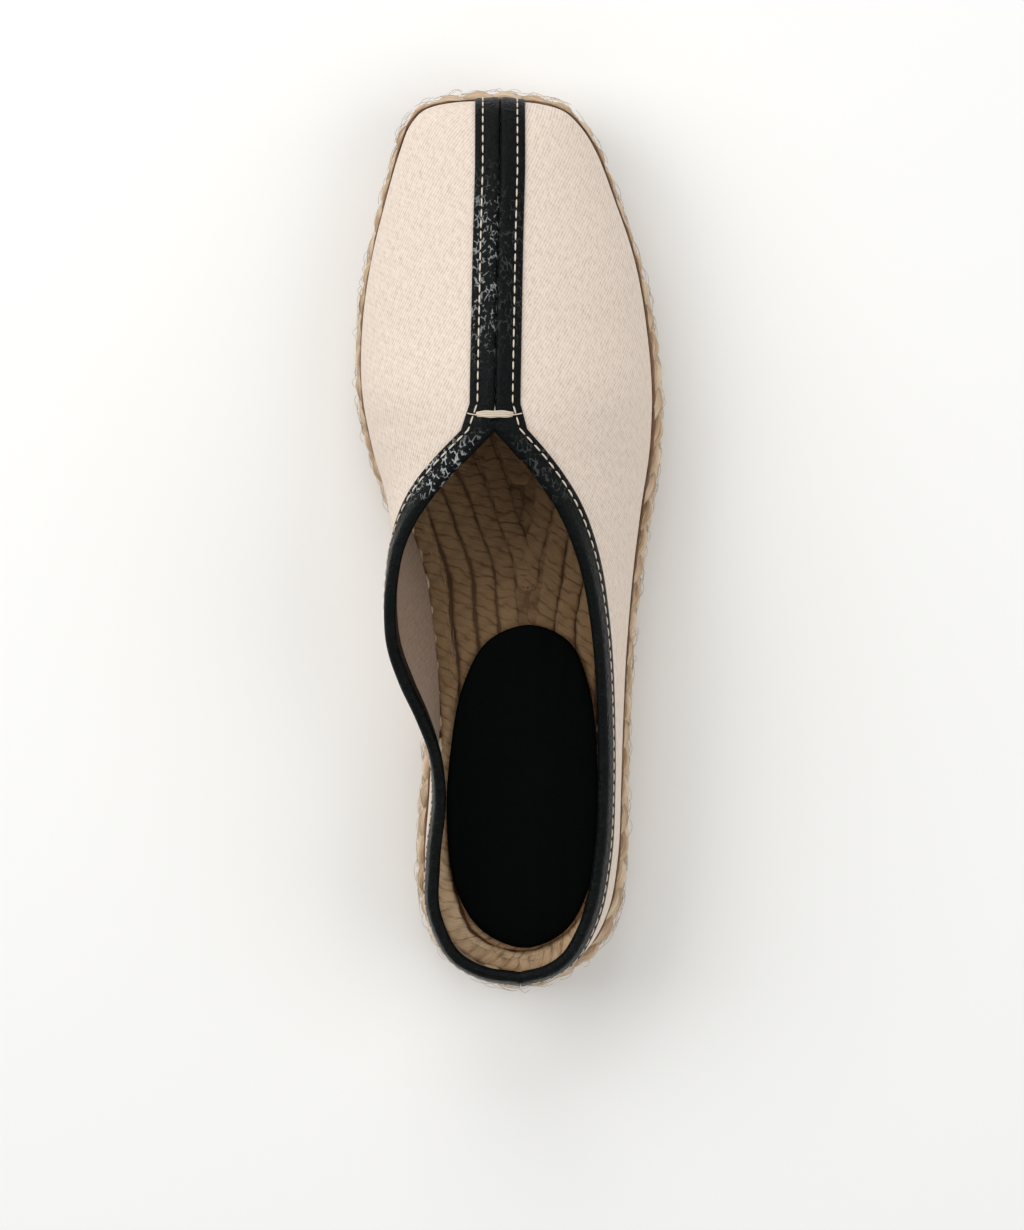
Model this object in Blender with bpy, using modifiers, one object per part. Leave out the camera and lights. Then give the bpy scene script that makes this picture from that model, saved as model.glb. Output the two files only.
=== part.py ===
"""Right-foot espadrille mule: canvas upper with leather-bound edges on a braided jute sole.

Everything is in metres, +Z up, toe towards +Y and the lateral (outer) side towards +X.
The origin is on the floor, at the middle of the sole's length and ball width.
Sizes below are written in millimetres and turned into metres when a mesh is made.
"""

import math
from collections import namedtuple

import bmesh
import bpy
import numpy as np
from mathutils import Vector
from mathutils.bvhtree import BVHTree

MM = 0.001
GAP = 0.3  # clearance between pieces that touch on the real shoe

# Sole heights above the floor, and how the forefoot curls up
OUTSOLE_THICK = 3.0
SOLE_TOP = 20.0
SPRING_START_Y = 45.0
SPRING_LENGTH = 84.0
TOE_SPRING = 7.0
OUTSOLE_INSET = 1.4

# Braid that is wound round the sole's edge
BRAID_RIBS = 66
BRAID_RIB_DEPTH = 0.6
BRAID_RIB_COLUMNS = 4
BRAID_SLANT = 0.22

# Upper: canvas and lining together, and the leather folded over its edges
WALL = 1.4
UPPER_SEAT = 0.5
LEATHER = 0.8
LEATHER_GAP = 0.35
BINDING_OUTER = 7.0
BINDING_INNER = 6.5
STRIP_GAP = 0.35
STRIP_HALF_SEAM = 0.15
STRIP_ROLL = 0.6
THROAT_T = 0.4
COLLAR_START_T = 0.408
STRIP_START_T = 0.395
LOWER_ROWS = 7

# Thread bar that ties the two bound edges together at the throat
TACK_LENGTH = 9.6
TACK_RADIUS = 0.8
TACK_AHEAD_OF_THROAT = 1.6
TACK_SPANS = 6
TACK_SIDES = 8

# Leather sock under the heel
SOCK_THICK = 1.6
SOCK_EDGE = 0.5

# Sole outline: half-breadths at stations along the length, between its two end points
TOE_POINT = (-4.0, 129.0)
HEEL_POINT = (3.0, -129.0)
Station = namedtuple("Station", "y medial lateral")
OUTLINE = [
    Station(-126.0, -10.0, 15.0),
    Station(-119.0, -19.3, 25.2),
    Station(-107.0, -25.3, 31.5),
    Station(-91.0, -26.8, 34.0),
    Station(-70.0, -25.6, 34.4),
    Station(-50.0, -24.4, 34.9),
    Station(-30.0, -25.6, 36.0),
    Station(-10.0, -28.6, 38.2),
    Station(8.0, -34.6, 41.0),
    Station(26.0, -41.2, 43.8),
    Station(44.0, -44.3, 44.2),
    Station(62.0, -44.1, 42.0),
    Station(80.0, -41.6, 38.0),
    Station(98.0, -37.4, 31.8),
    Station(112.0, -33.5, 26.6),
    Station(120.0, -30.4, 21.8),
    Station(125.6, -25.0, 15.4),
]

# Below, t is the share of the sole's edge from the toe point (0) round one side to the heel (1).
# Ledge of jute left outside the upper's foot
Ledge = namedtuple("Ledge", "t medial lateral")
LEDGE = [
    Ledge(0.00, 3.6, 3.6),
    Ledge(0.09, 2.4, 2.4),
    Ledge(0.20, 2.3, 2.0),
    Ledge(0.36, 2.6, 3.6),
    Ledge(0.45, 3.0, 3.8),
    Ledge(0.60, 3.0, 2.7),
    Ledge(0.75, 2.9, 2.8),
    Ledge(0.87, 2.9, 3.6),
    Ledge(0.94, 3.3, 4.0),
    Ledge(1.00, 3.3, 3.3),
]

# Crest of the upper: the centre ridge back to the throat, then the edge of the collar
Crest = namedtuple("Crest", "t x y z")
RIDGE = [
    Crest(0.00, -2.8, 105.0, 44.2),
    Crest(0.10, -3.0, 98.0, 46.2),
    Crest(0.20, -3.4, 83.0, 50.3),
    Crest(0.30, -3.8, 62.0, 56.6),
    Crest(0.36, -4.1, 46.0, 61.0),
    Crest(THROAT_T, -4.3, 33.0, 63.4),
]
COLLAR_MEDIAL = [
    Crest(THROAT_T, -4.3, 33.0, 63.4),
    Crest(0.440, -17.3, 19.6, 61.6),
    Crest(0.482, -27.0, 8.0, 60.0),
    Crest(0.514, -31.4, -1.0, 59.0),
    Crest(0.546, -33.4, -10.0, 58.0),
    Crest(0.580, -34.3, -20.0, 56.6),
    Crest(0.613, -33.6, -30.0, 54.4),
    Crest(0.646, -30.3, -40.0, 51.8),
    Crest(0.680, -25.7, -50.0, 49.0),
    Crest(0.713, -21.9, -60.0, 46.6),
    Crest(0.747, -20.4, -70.0, 45.0),
    Crest(0.817, -22.0, -91.0, 43.6),
    Crest(0.871, -21.8, -105.5, 43.3),
    Crest(0.916, -16.3, -117.3, 43.3),
    Crest(0.955, -8.3, -122.3, 43.3),
    Crest(1.000, 3.0, -124.2, 43.3),
]
COLLAR_LATERAL = [
    Crest(THROAT_T, -4.3, 33.0, 63.4),
    Crest(0.440, 6.6, 20.7, 61.2),
    Crest(0.484, 15.5, 8.0, 58.9),
    Crest(0.515, 19.6, -1.0, 57.0),
    Crest(0.545, 22.4, -10.0, 55.2),
    Crest(0.580, 24.4, -20.4, 53.3),
    Crest(0.612, 25.6, -30.0, 51.7),
    Crest(0.679, 26.8, -50.0, 48.5),
    Crest(0.746, 27.0, -70.0, 46.0),
    Crest(0.817, 25.7, -91.0, 44.2),
    Crest(0.871, 22.6, -106.5, 43.3),
    Crest(0.917, 17.2, -117.3, 43.3),
    Crest(0.958, 11.0, -122.0, 43.3),
    Crest(1.000, 3.0, -124.2, 43.3),
]

# Fullness of each section: its foot rises and bulges outwards, its crest reaches out and drops
Flank = namedtuple("Flank", "t rise bulge reach drop")
FLANK_MEDIAL = [
    Flank(0.00, 11.0, 0.5, 10.5, 3.2),
    Flank(0.09, 9.5, 0.8, 17.0, 3.0),
    Flank(0.20, 14.0, 3.0, 21.0, 2.5),
    Flank(0.30, 19.0, 3.5, 25.0, 2.5),
    Flank(0.40, 23.0, 3.8, 27.0, 3.2),
    Flank(0.44, 22.0, 4.4, 15.0, 8.5),
    Flank(0.482, 20.0, 5.2, 7.0, 11.5),
    Flank(0.514, 18.0, 6.2, 3.6, 12.5),
    Flank(0.546, 16.0, 7.0, 1.6, 13.0),
    Flank(0.580, 15.0, 7.0, 0.2, 13.0),
    Flank(0.613, 14.0, 6.2, -1.0, 12.5),
    Flank(0.646, 13.0, 4.6, -1.5, 11.5),
    Flank(0.680, 12.0, 2.8, -1.0, 10.5),
    Flank(0.713, 10.0, 1.4, 0.0, 9.5),
    Flank(0.747, 8.0, 1.0, 0.8, 9.0),
    Flank(0.817, 8.0, 1.0, 1.2, 8.5),
    Flank(0.900, 8.0, 1.0, 1.6, 8.5),
    Flank(1.000, 8.0, 1.2, 2.2, 8.5),
]
FLANK_LATERAL = [
    Flank(0.00, 11.0, 0.5, 10.5, 3.2),
    Flank(0.09, 9.5, 0.8, 15.0, 3.0),
    Flank(0.20, 13.0, 2.0, 20.0, 3.2),
    Flank(0.30, 16.0, 2.0, 24.0, 3.4),
    Flank(0.40, 18.0, 1.6, 27.0, 4.0),
    Flank(0.44, 17.0, 1.6, 18.0, 9.0),
    Flank(0.484, 16.0, 1.5, 10.5, 11.0),
    Flank(0.515, 15.0, 1.5, 7.5, 12.0),
    Flank(0.545, 14.0, 1.4, 5.4, 12.0),
    Flank(0.612, 12.0, 1.2, 3.9, 12.0),
    Flank(0.679, 10.0, 1.2, 3.2, 11.0),
    Flank(0.746, 8.0, 1.2, 2.9, 10.0),
    Flank(0.817, 8.0, 1.0, 2.9, 9.0),
    Flank(0.900, 8.0, 1.0, 2.6, 8.5),
    Flank(1.000, 8.0, 1.2, 2.2, 8.5),
]

# Edge of the heel sock, from its front point round the lateral side
SockPoint = namedtuple("SockPoint", "x y")
SOCK = [
    SockPoint(5.5, -24.2),
    SockPoint(17.0, -29.0),
    SockPoint(22.8, -42.0),
    SockPoint(25.0, -60.0),
    SockPoint(25.2, -80.0),
    SockPoint(23.0, -99.0),
    SockPoint(16.0, -112.0),
    SockPoint(4.5, -117.0),
    SockPoint(-8.0, -112.0),
    SockPoint(-15.5, -100.0),
    SockPoint(-18.2, -80.0),
    SockPoint(-17.0, -60.0),
    SockPoint(-13.6, -42.0),
    SockPoint(-6.5, -29.0),
]

MATERIALS = {
    # name: (linear colour, roughness)
    "rubber": ((0.42, 0.27, 0.15), 0.85),
    "jute": ((0.50, 0.33, 0.18), 0.95),
    "canvas": ((0.80, 0.68, 0.58), 0.90),
    "leather": ((0.008, 0.009, 0.010), 0.38),
    "thread": ((0.78, 0.68, 0.52), 0.70),
    "sock_leather": ((0.006, 0.007, 0.008), 0.55),
}


def clear_scene():
    for obj in list(bpy.data.objects):
        bpy.data.objects.remove(obj)


def make_material(name):
    colour, roughness = MATERIALS[name]
    material = bpy.data.materials.new(name)
    material.use_nodes = True
    shader = material.node_tree.nodes["Principled BSDF"]
    shader.inputs["Base Color"].default_value = (*colour, 1.0)
    shader.inputs["Roughness"].default_value = roughness
    shader.inputs["Metallic"].default_value = 0.0
    return material


def add_mesh(name, points, faces, collection, material):
    """One object from points in millimetres, welded, with its normals facing out."""
    mesh = bpy.data.meshes.new(name)
    mesh.from_pydata([tuple(c * MM for c in p) for p in points], [], faces)
    bm = bmesh.new()
    bm.from_mesh(mesh)
    bmesh.ops.remove_doubles(bm, verts=bm.verts, dist=0.01 * MM)
    bmesh.ops.recalc_face_normals(bm, faces=bm.faces)
    bm.to_mesh(mesh)
    bm.free()
    mesh.shade_smooth()
    mesh.set_sharp_from_angle(angle=math.radians(40))
    mesh.materials.append(material)
    obj = bpy.data.objects.new(name, mesh)
    collection.objects.link(obj)
    return obj


# Curves through the tables


def catmull_rom(points, steps=16):
    """Closed centripetal Catmull-Rom curve through the points, as a fine polyline."""
    points = np.array(points, float)
    count = len(points)
    fine = []
    for i in range(count):
        a, b, c, d = (points[(i + k) % count] for k in (-1, 0, 1, 2))
        t1 = math.sqrt(np.linalg.norm(b - a))
        t2 = t1 + math.sqrt(np.linalg.norm(c - b))
        t3 = t2 + math.sqrt(np.linalg.norm(d - c))
        for step in range(steps):
            at = t1 + (t2 - t1) * step / steps
            ab = a + (b - a) * at / t1
            bc = b + (c - b) * (at - t1) / (t2 - t1)
            cd = c + (d - c) * (at - t2) / (t3 - t2)
            abc = ab + (bc - ab) * at / t2
            bcd = bc + (cd - bc) * (at - t1) / (t3 - t1)
            fine.append(abc + (bcd - abc) * (at - t1) / (t2 - t1))
    return np.array(fine)


def smooth(rows, at, column):
    """Value of one column of a table at t, through its rows with rounded corners."""
    t = np.array([row.t for row in rows])
    values = np.array([getattr(row, column) for row in rows])
    slopes = np.gradient(values, t)
    i = int(np.clip(np.searchsorted(t, at) - 1, 0, len(t) - 2))
    span = t[i + 1] - t[i]
    u = (at - t[i]) / span
    return (
        (2 * u**3 - 3 * u**2 + 1) * values[i]
        + (u**3 - 2 * u**2 + u) * span * slopes[i]
        + (-2 * u**3 + 3 * u**2) * values[i + 1]
        + (u**3 - u**2) * span * slopes[i + 1]
    )


class SoleEdge:
    """The sole's outline, read by side and by t."""

    def __init__(self):
        lateral = [(row.lateral, row.y) for row in reversed(OUTLINE)]
        medial = [(row.medial, row.y) for row in OUTLINE]
        points = [TOE_POINT, *lateral, HEEL_POINT, *medial]
        steps = 16
        curve = catmull_rom(points, steps)
        heel = steps * (len(OUTLINE) + 1)
        self.sides = {
            "lateral": self.measured(curve[: heel + 1]),
            "medial": self.measured(np.vstack([curve[heel:], curve[:1]])[::-1]),
        }

    @staticmethod
    def measured(line):
        lengths = np.linalg.norm(np.diff(line, axis=0), axis=1)
        run = np.concatenate([[0.0], np.cumsum(lengths)])
        return run, line

    def point(self, side, t, inset=0.0):
        """A point of the outline, moved inwards by inset."""
        run, line = self.sides[side]
        here = self.raw(run, line, t * run[-1])
        if not inset:
            return here
        return here - inset * self.outward(side, t)

    @staticmethod
    def raw(run, line, distance):
        return np.array([np.interp(distance, run, line[:, k]) for k in (0, 1)])

    def outward(self, side, t):
        """Outward direction in plan. At the toe and heel points both sides agree."""
        if t <= 0.0:
            return np.array([0.0, 1.0])
        if t >= 1.0:
            return np.array([0.0, -1.0])
        run, line = self.sides[side]
        half_step = 1.5
        low = max(t * run[-1] - half_step, 0.0)
        high = min(t * run[-1] + half_step, run[-1])
        along = self.raw(run, line, high) - self.raw(run, line, low)
        along /= np.linalg.norm(along)
        turn = 1.0 if side == "lateral" else -1.0
        return turn * np.array([-along[1], along[0]])


EDGE = SoleEdge()


def spring(y):
    """How far the sole has curled up from the floor at y."""
    return TOE_SPRING * (max(y - SPRING_START_Y, 0.0) / SPRING_LENGTH) ** 2


# Upper's surface


def crest_point(side, t):
    if t <= THROAT_T:
        rows = RIDGE
    else:
        rows = COLLAR_MEDIAL if side == "medial" else COLLAR_LATERAL
    return np.array([smooth(rows, t, c) for c in "xyz"])


def foot_point(side, t):
    x, y = EDGE.point(side, t, smooth(LEDGE, t, side))
    return np.array([x, y, SOLE_TOP + UPPER_SEAT + spring(y)])


def meridian(side, t, steps=40):
    """Fine line of the upper's outer face at t, from its crest down to the sole."""
    rows = FLANK_MEDIAL if side == "medial" else FLANK_LATERAL
    rise, bulge, reach, drop = (
        smooth(rows, t, c) for c in ("rise", "bulge", "reach", "drop")
    )
    foot, crest = foot_point(side, t), crest_point(side, t)
    out = np.append(EDGE.outward(side, t), 0.0)
    away = foot - crest
    away[2] = 0.0
    # Where foot and crest stand nearly over each other, the sole's outward direction decides
    lean = np.clip(np.linalg.norm(away) / 12.0, 0.0, 1.0)
    if away @ out < 0:
        lean = 0.0
    away = lean * away / max(np.linalg.norm(away), 1e-6) + (1.0 - lean) * out
    away /= np.linalg.norm(away)
    up = np.array([0.0, 0.0, 1.0])
    handles = [crest, crest + reach * away - drop * up, foot + bulge * out + rise * up, foot]
    u = np.linspace(0.0, 1.0, steps + 1)[:, None]
    return (
        (1 - u) ** 3 * handles[0]
        + 3 * (1 - u) ** 2 * u * handles[1]
        + 3 * (1 - u) * u**2 * handles[2]
        + u**3 * handles[3]
    )


def down_from_crest(line, distance):
    """Point and downward direction on a meridian, at a distance below its crest."""
    lengths = np.linalg.norm(np.diff(line, axis=0), axis=1)
    run = np.concatenate([[0.0], np.cumsum(lengths)])
    along = (line[1] - line[0]) / lengths[0]
    if distance <= 0.0:
        return line[0] + along * distance, along
    point = np.array([np.interp(distance, run, line[:, k]) for k in range(3)])
    ahead = np.array([np.interp(distance + 0.5, run, line[:, k]) for k in range(3)])
    behind = np.array([np.interp(distance - 0.5, run, line[:, k]) for k in range(3)])
    along = ahead - behind
    return point, along / np.linalg.norm(along)


def wall_point(side, t, distance, height):
    """A point beside the upper's wall: distance below the crest, height off its outer face."""
    step = 0.004
    low, high = max(t - step, 0.0), min(t + step, 1.0)
    point, down = down_from_crest(meridian(side, t), distance)
    before = down_from_crest(meridian(side, low), distance)[0]
    after = down_from_crest(meridian(side, high), distance)[0]
    normal = np.cross(after - before, down)
    normal /= np.linalg.norm(normal)
    if side == "medial":
        normal = -normal
    return point + height * normal


def column_ts():
    """Where the upper has its columns: closer together round the toe corners and the heel."""
    return np.concatenate(
        [
            np.linspace(0.0, 0.04, 3)[:-1],
            np.linspace(0.04, 0.14, 9)[:-1],
            np.linspace(0.14, THROAT_T, 8)[:-1],
            [THROAT_T],
            np.linspace(COLLAR_START_T, 0.56, 13)[:-1],
            np.linspace(0.56, 0.86, 13)[:-1],
            np.linspace(0.86, 1.0, 8),
        ]
    )


def column_rows(side, t):
    """One column of the upper's outer face, from the crest down."""
    line = meridian(side, t)
    total = np.linalg.norm(np.diff(line, axis=0), axis=1).sum()
    upper_rows = [0.0, BINDING_OUTER / 2, BINDING_OUTER]
    lower_rows = np.linspace(BINDING_OUTER, total, LOWER_ROWS + 1)[1:]
    return [down_from_crest(line, d)[0] for d in [*upper_rows, *lower_rows]]


def loop_of_columns(ts):
    """(side, t) of every column round the shoe: toe, medial side, heel and back."""
    return [("medial", t) for t in ts] + [("lateral", t) for t in ts[-2:0:-1]]


def grid_faces(columns, rows, closed):
    """Quads between neighbouring columns of points that are stored column by column."""
    faces = []
    for i in range(columns if closed else columns - 1):
        j = (i + 1) % columns
        for k in range(rows - 1):
            faces.append(
                (i * rows + k, i * rows + k + 1, j * rows + k + 1, j * rows + k)
            )
    return faces


def build_upper(collection, material):
    """Canvas shell: one open surface from foot to crest, given its wall by Solidify."""
    columns = [column_rows(side, t) for side, t in loop_of_columns(column_ts())]
    rows = len(columns[0])
    points = [p for column in columns for p in column]
    faces = grid_faces(len(columns), rows, closed=True)
    upper = add_mesh("upper", points, faces, collection, material)
    wall = upper.modifiers.new("wall", "SOLIDIFY")
    wall.thickness = WALL * MM
    wall.offset = -1.0
    wall.use_even_offset = True
    wall.use_quality_normals = True
    return upper


# Leather edges


def swept_solid(name, sections, collection, material):
    """Loft through closed sections of equal length, with both ends filled."""
    count = len(sections[0])
    points = [p for section in sections for p in section]
    faces = []
    for i in range(len(sections) - 1):
        for k in range(count):
            m = (k + 1) % count
            faces.append(
                (i * count + k, i * count + m, (i + 1) * count + m, (i + 1) * count + k)
            )
    last = (len(sections) - 1) * count
    faces += end_cap(list(range(count)))
    faces += end_cap([last + k for k in range(count)])
    return add_mesh(name, points, faces, collection, material)


def end_cap(ring):
    """Quads across a section whose two halves run side by side."""
    faces = []
    low, high = 0, len(ring) - 1
    while high - low > 2:
        faces.append((ring[low], ring[low + 1], ring[high - 1], ring[high]))
        low, high = low + 1, high - 1
    if high - low == 2:
        faces.append((ring[low], ring[low + 1], ring[high]))
    return faces


def binding_section():
    """U of folded leather, as (distance below the crest, height off the outer face)."""
    middle = -WALL / 2
    cavity = WALL / 2 + LEATHER_GAP
    skin = cavity + LEATHER
    angles = [math.radians(a) for a in (0, 45, 90, 135, 180)]
    outside = [(BINDING_OUTER, middle + skin), (BINDING_OUTER / 2, middle + skin)]
    outside += [(-skin * math.sin(a), middle + skin * math.cos(a)) for a in angles]
    outside += [(BINDING_OUTER / 2, middle - skin), (BINDING_INNER, middle - skin)]
    inside = [(BINDING_INNER, middle - cavity), (BINDING_OUTER / 2, middle - cavity)]
    inside += [
        (-cavity * math.sin(a), middle + cavity * math.cos(a)) for a in reversed(angles)
    ]
    inside += [(BINDING_OUTER / 2, middle + cavity), (BINDING_OUTER, middle + cavity)]
    return outside + inside


def build_collar_binding(collection, material):
    """Leather folded over the collar's edge, from the throat round the heel and back."""
    ts = [t for t in column_ts() if t >= COLLAR_START_T]
    stations = [("medial", t) for t in ts] + [("lateral", t) for t in ts[-2::-1]]
    section = binding_section()
    sections = [
        [wall_point(side, t, distance, height) for distance, height in section]
        for side, t in stations
    ]
    return swept_solid("collar_binding", sections, collection, material)


def strip_path():
    """Centre line of the vamp, from the throat over the toe to the sole, and its normals."""
    ridge = [crest_point("medial", t) for t in np.linspace(STRIP_START_T, 0.0, 17)]
    front = meridian("medial", 0.0, 12)[1:-1]
    line = np.vstack([ridge, front])
    along = np.gradient(line, axis=0)
    along[:, 0] = 0.0
    along /= np.linalg.norm(along, axis=1)[:, None]
    normals = np.stack([np.zeros(len(line)), -along[:, 2], along[:, 1]], axis=1)
    return line, normals


def outer_tree(upper):
    """The upper's outer face alone, for resting the strips on it."""
    mesh = upper.data
    return BVHTree.FromPolygons(
        [v.co.copy() for v in mesh.vertices], [tuple(p.vertices) for p in mesh.polygons]
    )


def rest_on(tree, start, direction, reach=14.0):
    """Where a line that drops from outside meets the upper's outer face."""
    origin = Vector((start + reach * direction) * MM)
    hit = tree.ray_cast(origin, Vector(-direction))[0]
    return start if hit is None else np.array(hit) / MM


def build_vamp_binding(side, tree, collection, material):
    """Bound edge of one half of the vamp: flat on the canvas, rolled along the centre."""
    turn = -1.0 if side == "medial" else 1.0
    low, skin = STRIP_GAP, STRIP_GAP + LEATHER
    section = [
        (STRIP_HALF_SEAM, low),
        (3.6, low),
        (BINDING_OUTER, low),
        (BINDING_OUTER, skin),
        (4.4, skin),
        (2.2, skin + 0.3 * STRIP_ROLL),
        (1.0, skin + STRIP_ROLL),
        (STRIP_HALF_SEAM, skin + 0.4 * STRIP_ROLL),
    ]
    line, normals = strip_path()
    sections = []
    for centre, normal in zip(line, normals):
        ring = []
        for across, height in section:
            start = centre + np.array([turn * across, 0.0, 0.0])
            ring.append(rest_on(tree, start, normal) + height * normal)
        sections.append(ring)
    return swept_solid(f"vamp_binding_{side}", sections, collection, material)


def build_throat_tack(tree, collection, material):
    """Short bar of thread across both bound edges at the throat."""
    throat = crest_point("medial", THROAT_T)
    up = np.array([0.0, 0.0, 1.0])
    forward = np.array([0.0, 1.0, 0.0])
    lift = STRIP_GAP + LEATHER + STRIP_ROLL + GAP + TACK_RADIUS
    sections = []
    for span in np.linspace(-0.5, 0.5, TACK_SPANS + 1):
        start = throat + np.array([span * TACK_LENGTH, TACK_AHEAD_OF_THROAT, 0.0])
        centre = rest_on(tree, start, up) + lift * up
        radius = TACK_RADIUS * (1.0 - 0.5 * (2.0 * abs(span)) ** 3)
        turns = np.linspace(0.0, 2.0 * math.pi, TACK_SIDES, endpoint=False)
        sections.append(
            [centre + radius * (math.cos(a) * up + math.sin(a) * forward) for a in turns]
        )
    return swept_solid("throat_tack", sections, collection, material)


# Sole and sock


def ring_solid(name, rings, collection, material):
    """Closed solid from rings stacked upwards. Each ring runs from the toe round to the heel
    and back, so that its two halves mirror each other's count, and rungs fill the ends."""
    count = len(rings[0])
    half = count // 2
    points = [p for ring in rings for p in ring]
    faces = []
    for level in range(len(rings) - 1):
        base = level * count
        for i in range(count):
            j = (i + 1) % count
            faces.append((base + i, base + j, base + count + j, base + count + i))
    for base in (0, (len(rings) - 1) * count):
        for i in range(half):
            rung = [i, i + 1, (count - i - 1) % count, (count - i) % count]
            faces.append([base + k for k in dict.fromkeys(rung)])
    return add_mesh(name, points, faces, collection, material)


def sole_ring(ts, inset_of, height_of):
    """One ring of the sole: inset_of and height_of give its shape at each place."""
    ring = []
    for side, t in loop_of_columns(ts):
        x, y = EDGE.point(side, t, inset_of(side, t))
        ring.append((x, y, height_of(y)))
    return ring


def build_outsole(collection, material):
    """Thin rubber sole: flat from the heel to the ball, then curled up with the toe."""
    ts = column_ts()
    levels = [
        # (height, inset from the braid's face)
        (0.0, OUTSOLE_INSET + 0.8),
        (0.8, OUTSOLE_INSET),
        (OUTSOLE_THICK, OUTSOLE_INSET),
    ]
    rings = [
        sole_ring(ts, lambda side, t, i=inset: i, lambda y, h=height: h + spring(y))
        for height, inset in levels
    ]
    return ring_solid("outsole", rings, collection, material)


def build_midsole(collection, material):
    """Jute sole. Its side bulges like a braid on edge, with a rib for each turn of a strand."""
    per_side = BRAID_RIBS * BRAID_RIB_COLUMNS // 2
    ts = np.linspace(0.0, 1.0, per_side + 1)
    bottom = OUTSOLE_THICK + GAP
    thick = SOLE_TOP - bottom
    levels = [
        # (share of the height, inset, share of the rib's depth)
        (0.00, 1.6, 0.0),
        (0.12, 0.5, 0.7),
        (0.34, 0.0, 1.0),
        (0.66, 0.0, 1.0),
        (0.90, 0.5, 0.7),
        (1.00, 1.8, 0.0),
    ]

    def rib_depth(side, t, share, level):
        turns = BRAID_RIBS / 2 * t + BRAID_SLANT * level
        return share * BRAID_RIB_DEPTH * (1.0 - math.cos(2 * math.pi * turns))

    rings = []
    for level, (share_up, inset, share) in enumerate(levels):
        rings.append(
            sole_ring(
                ts,
                lambda side, t, i=inset, s=share, n=level: i + rib_depth(side, t, s, n),
                lambda y, up=share_up: bottom + up * thick + spring(y),
            )
        )
    return ring_solid("jute_midsole", rings, collection, material)


def build_sock(collection, material):
    """Leather sock on the jute under the heel, with a softened top edge."""
    outline = catmull_rom([(p.x, p.y) for p in SOCK], 4)
    centre = outline.mean(axis=0)
    base = SOLE_TOP + GAP
    levels = [
        # (height, inset)
        (0.0, 0.0),
        (SOCK_THICK - SOCK_EDGE, 0.0),
        (SOCK_THICK, SOCK_EDGE),
    ]
    rings = []
    for height, inset in levels:
        ring = []
        for point in outline:
            inward = centre - point
            x, y = point + inset * inward / np.linalg.norm(inward)
            ring.append((x, y, base + height))
        rings.append(ring)
    return ring_solid("heel_sock", rings, collection, material)


def main():
    clear_scene()
    collection = bpy.data.collections.new("espadrille_mule")
    bpy.context.scene.collection.children.link(collection)
    materials = {name: make_material(name) for name in MATERIALS}
    build_outsole(collection, materials["rubber"])
    build_midsole(collection, materials["jute"])
    upper = build_upper(collection, materials["canvas"])
    build_collar_binding(collection, materials["leather"])
    tree = outer_tree(upper)
    for side in ("medial", "lateral"):
        build_vamp_binding(side, tree, collection, materials["leather"])
    build_throat_tack(tree, collection, materials["thread"])
    build_sock(collection, materials["sock_leather"])


main()
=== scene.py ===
"""Looks of a right-foot espadrille mule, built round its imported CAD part.

Sizes are in millimetres and turned into metres when a mesh is made. +Z is up, +Y points to the
toe and +X to the lateral side, as in the CAD. Below, t is the share of the sole's edge from the
toe point (0) round one side to the heel (1).
"""

import functools
import math
import random
from collections import namedtuple

import bmesh
import bpy
import numpy as np
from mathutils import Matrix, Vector
from mathutils.bvhtree import BVHTree


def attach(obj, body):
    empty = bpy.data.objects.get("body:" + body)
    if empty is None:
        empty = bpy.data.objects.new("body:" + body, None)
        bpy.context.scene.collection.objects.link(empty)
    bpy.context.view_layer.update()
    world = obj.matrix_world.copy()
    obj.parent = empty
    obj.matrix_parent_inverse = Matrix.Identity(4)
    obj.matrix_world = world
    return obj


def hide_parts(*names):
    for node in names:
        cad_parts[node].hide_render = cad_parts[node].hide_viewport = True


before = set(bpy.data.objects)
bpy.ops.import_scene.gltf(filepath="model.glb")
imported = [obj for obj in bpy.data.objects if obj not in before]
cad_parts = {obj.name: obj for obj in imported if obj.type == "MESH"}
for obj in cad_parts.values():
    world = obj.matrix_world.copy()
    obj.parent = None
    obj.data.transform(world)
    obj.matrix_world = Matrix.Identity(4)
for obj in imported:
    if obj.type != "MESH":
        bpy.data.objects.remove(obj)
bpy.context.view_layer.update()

MM = 0.001
UP = np.array([0.0, 0.0, 1.0])

# Sole heights and toe spring, as in the CAD
OUTSOLE_THICK = 3.0
SOLE_TOP = 20.0
SPRING_START_Y = 45.0
SPRING_LENGTH = 84.0
TOE_SPRING = 7.0

# Braid: three strands wound round the sole on edge, row inside row
ROW_PITCH = 6.3
STRAND_STEP = 8.0
STRAND_REACH = 4.95
STRAND_WEAVE = 1.35
STRAND_WIDE = 3.4
STRAND_DEEP = 1.9
STRAND_SIDES = 14
# How long a strand stays high or low before it crosses over
STRAND_DWELL = 1.7
BRAID_MIDDLE = 11.65
# A jump this long in an inset loop is a pinch
PINCH = 14.0
FOOTBED_TOP = 19.9
FOOTBED_HALF = 3.3
FOOTBED_FIRST = 7.1
FOOTBED_ROWS = 6
# Half of a row's section: (share of its half-breadth, height over its top)
FOOTBED_CROWN = [(0.1, 0.0), (0.35, -0.02), (0.6, -0.12), (0.82, -0.42), (0.95, -1.1), (1.0, -2.6)]
# Insets and tops of the parts hidden below
FOOTBED_FLOOR = 14.0
BED_INSET = 3.4
BED_TOP = 18.7
# Insets of the lower rows that fill the wedges, and how much lower they lie
FILLER_INSETS = (29.2, 35.5)
FILLER_SINK = 0.65
WAIST_Y = -30.0

# Strip of painted shadow in the seam at the canvas foot: how far out and down its middle lies, and
# half its height
SEAM_OUT = 0.5
SEAM_DROP = 1.5
SEAM_DEEP = 1.9

# Loose fibres
FIBRES = 620
FIBRE_RADIUS = 0.06

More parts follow.
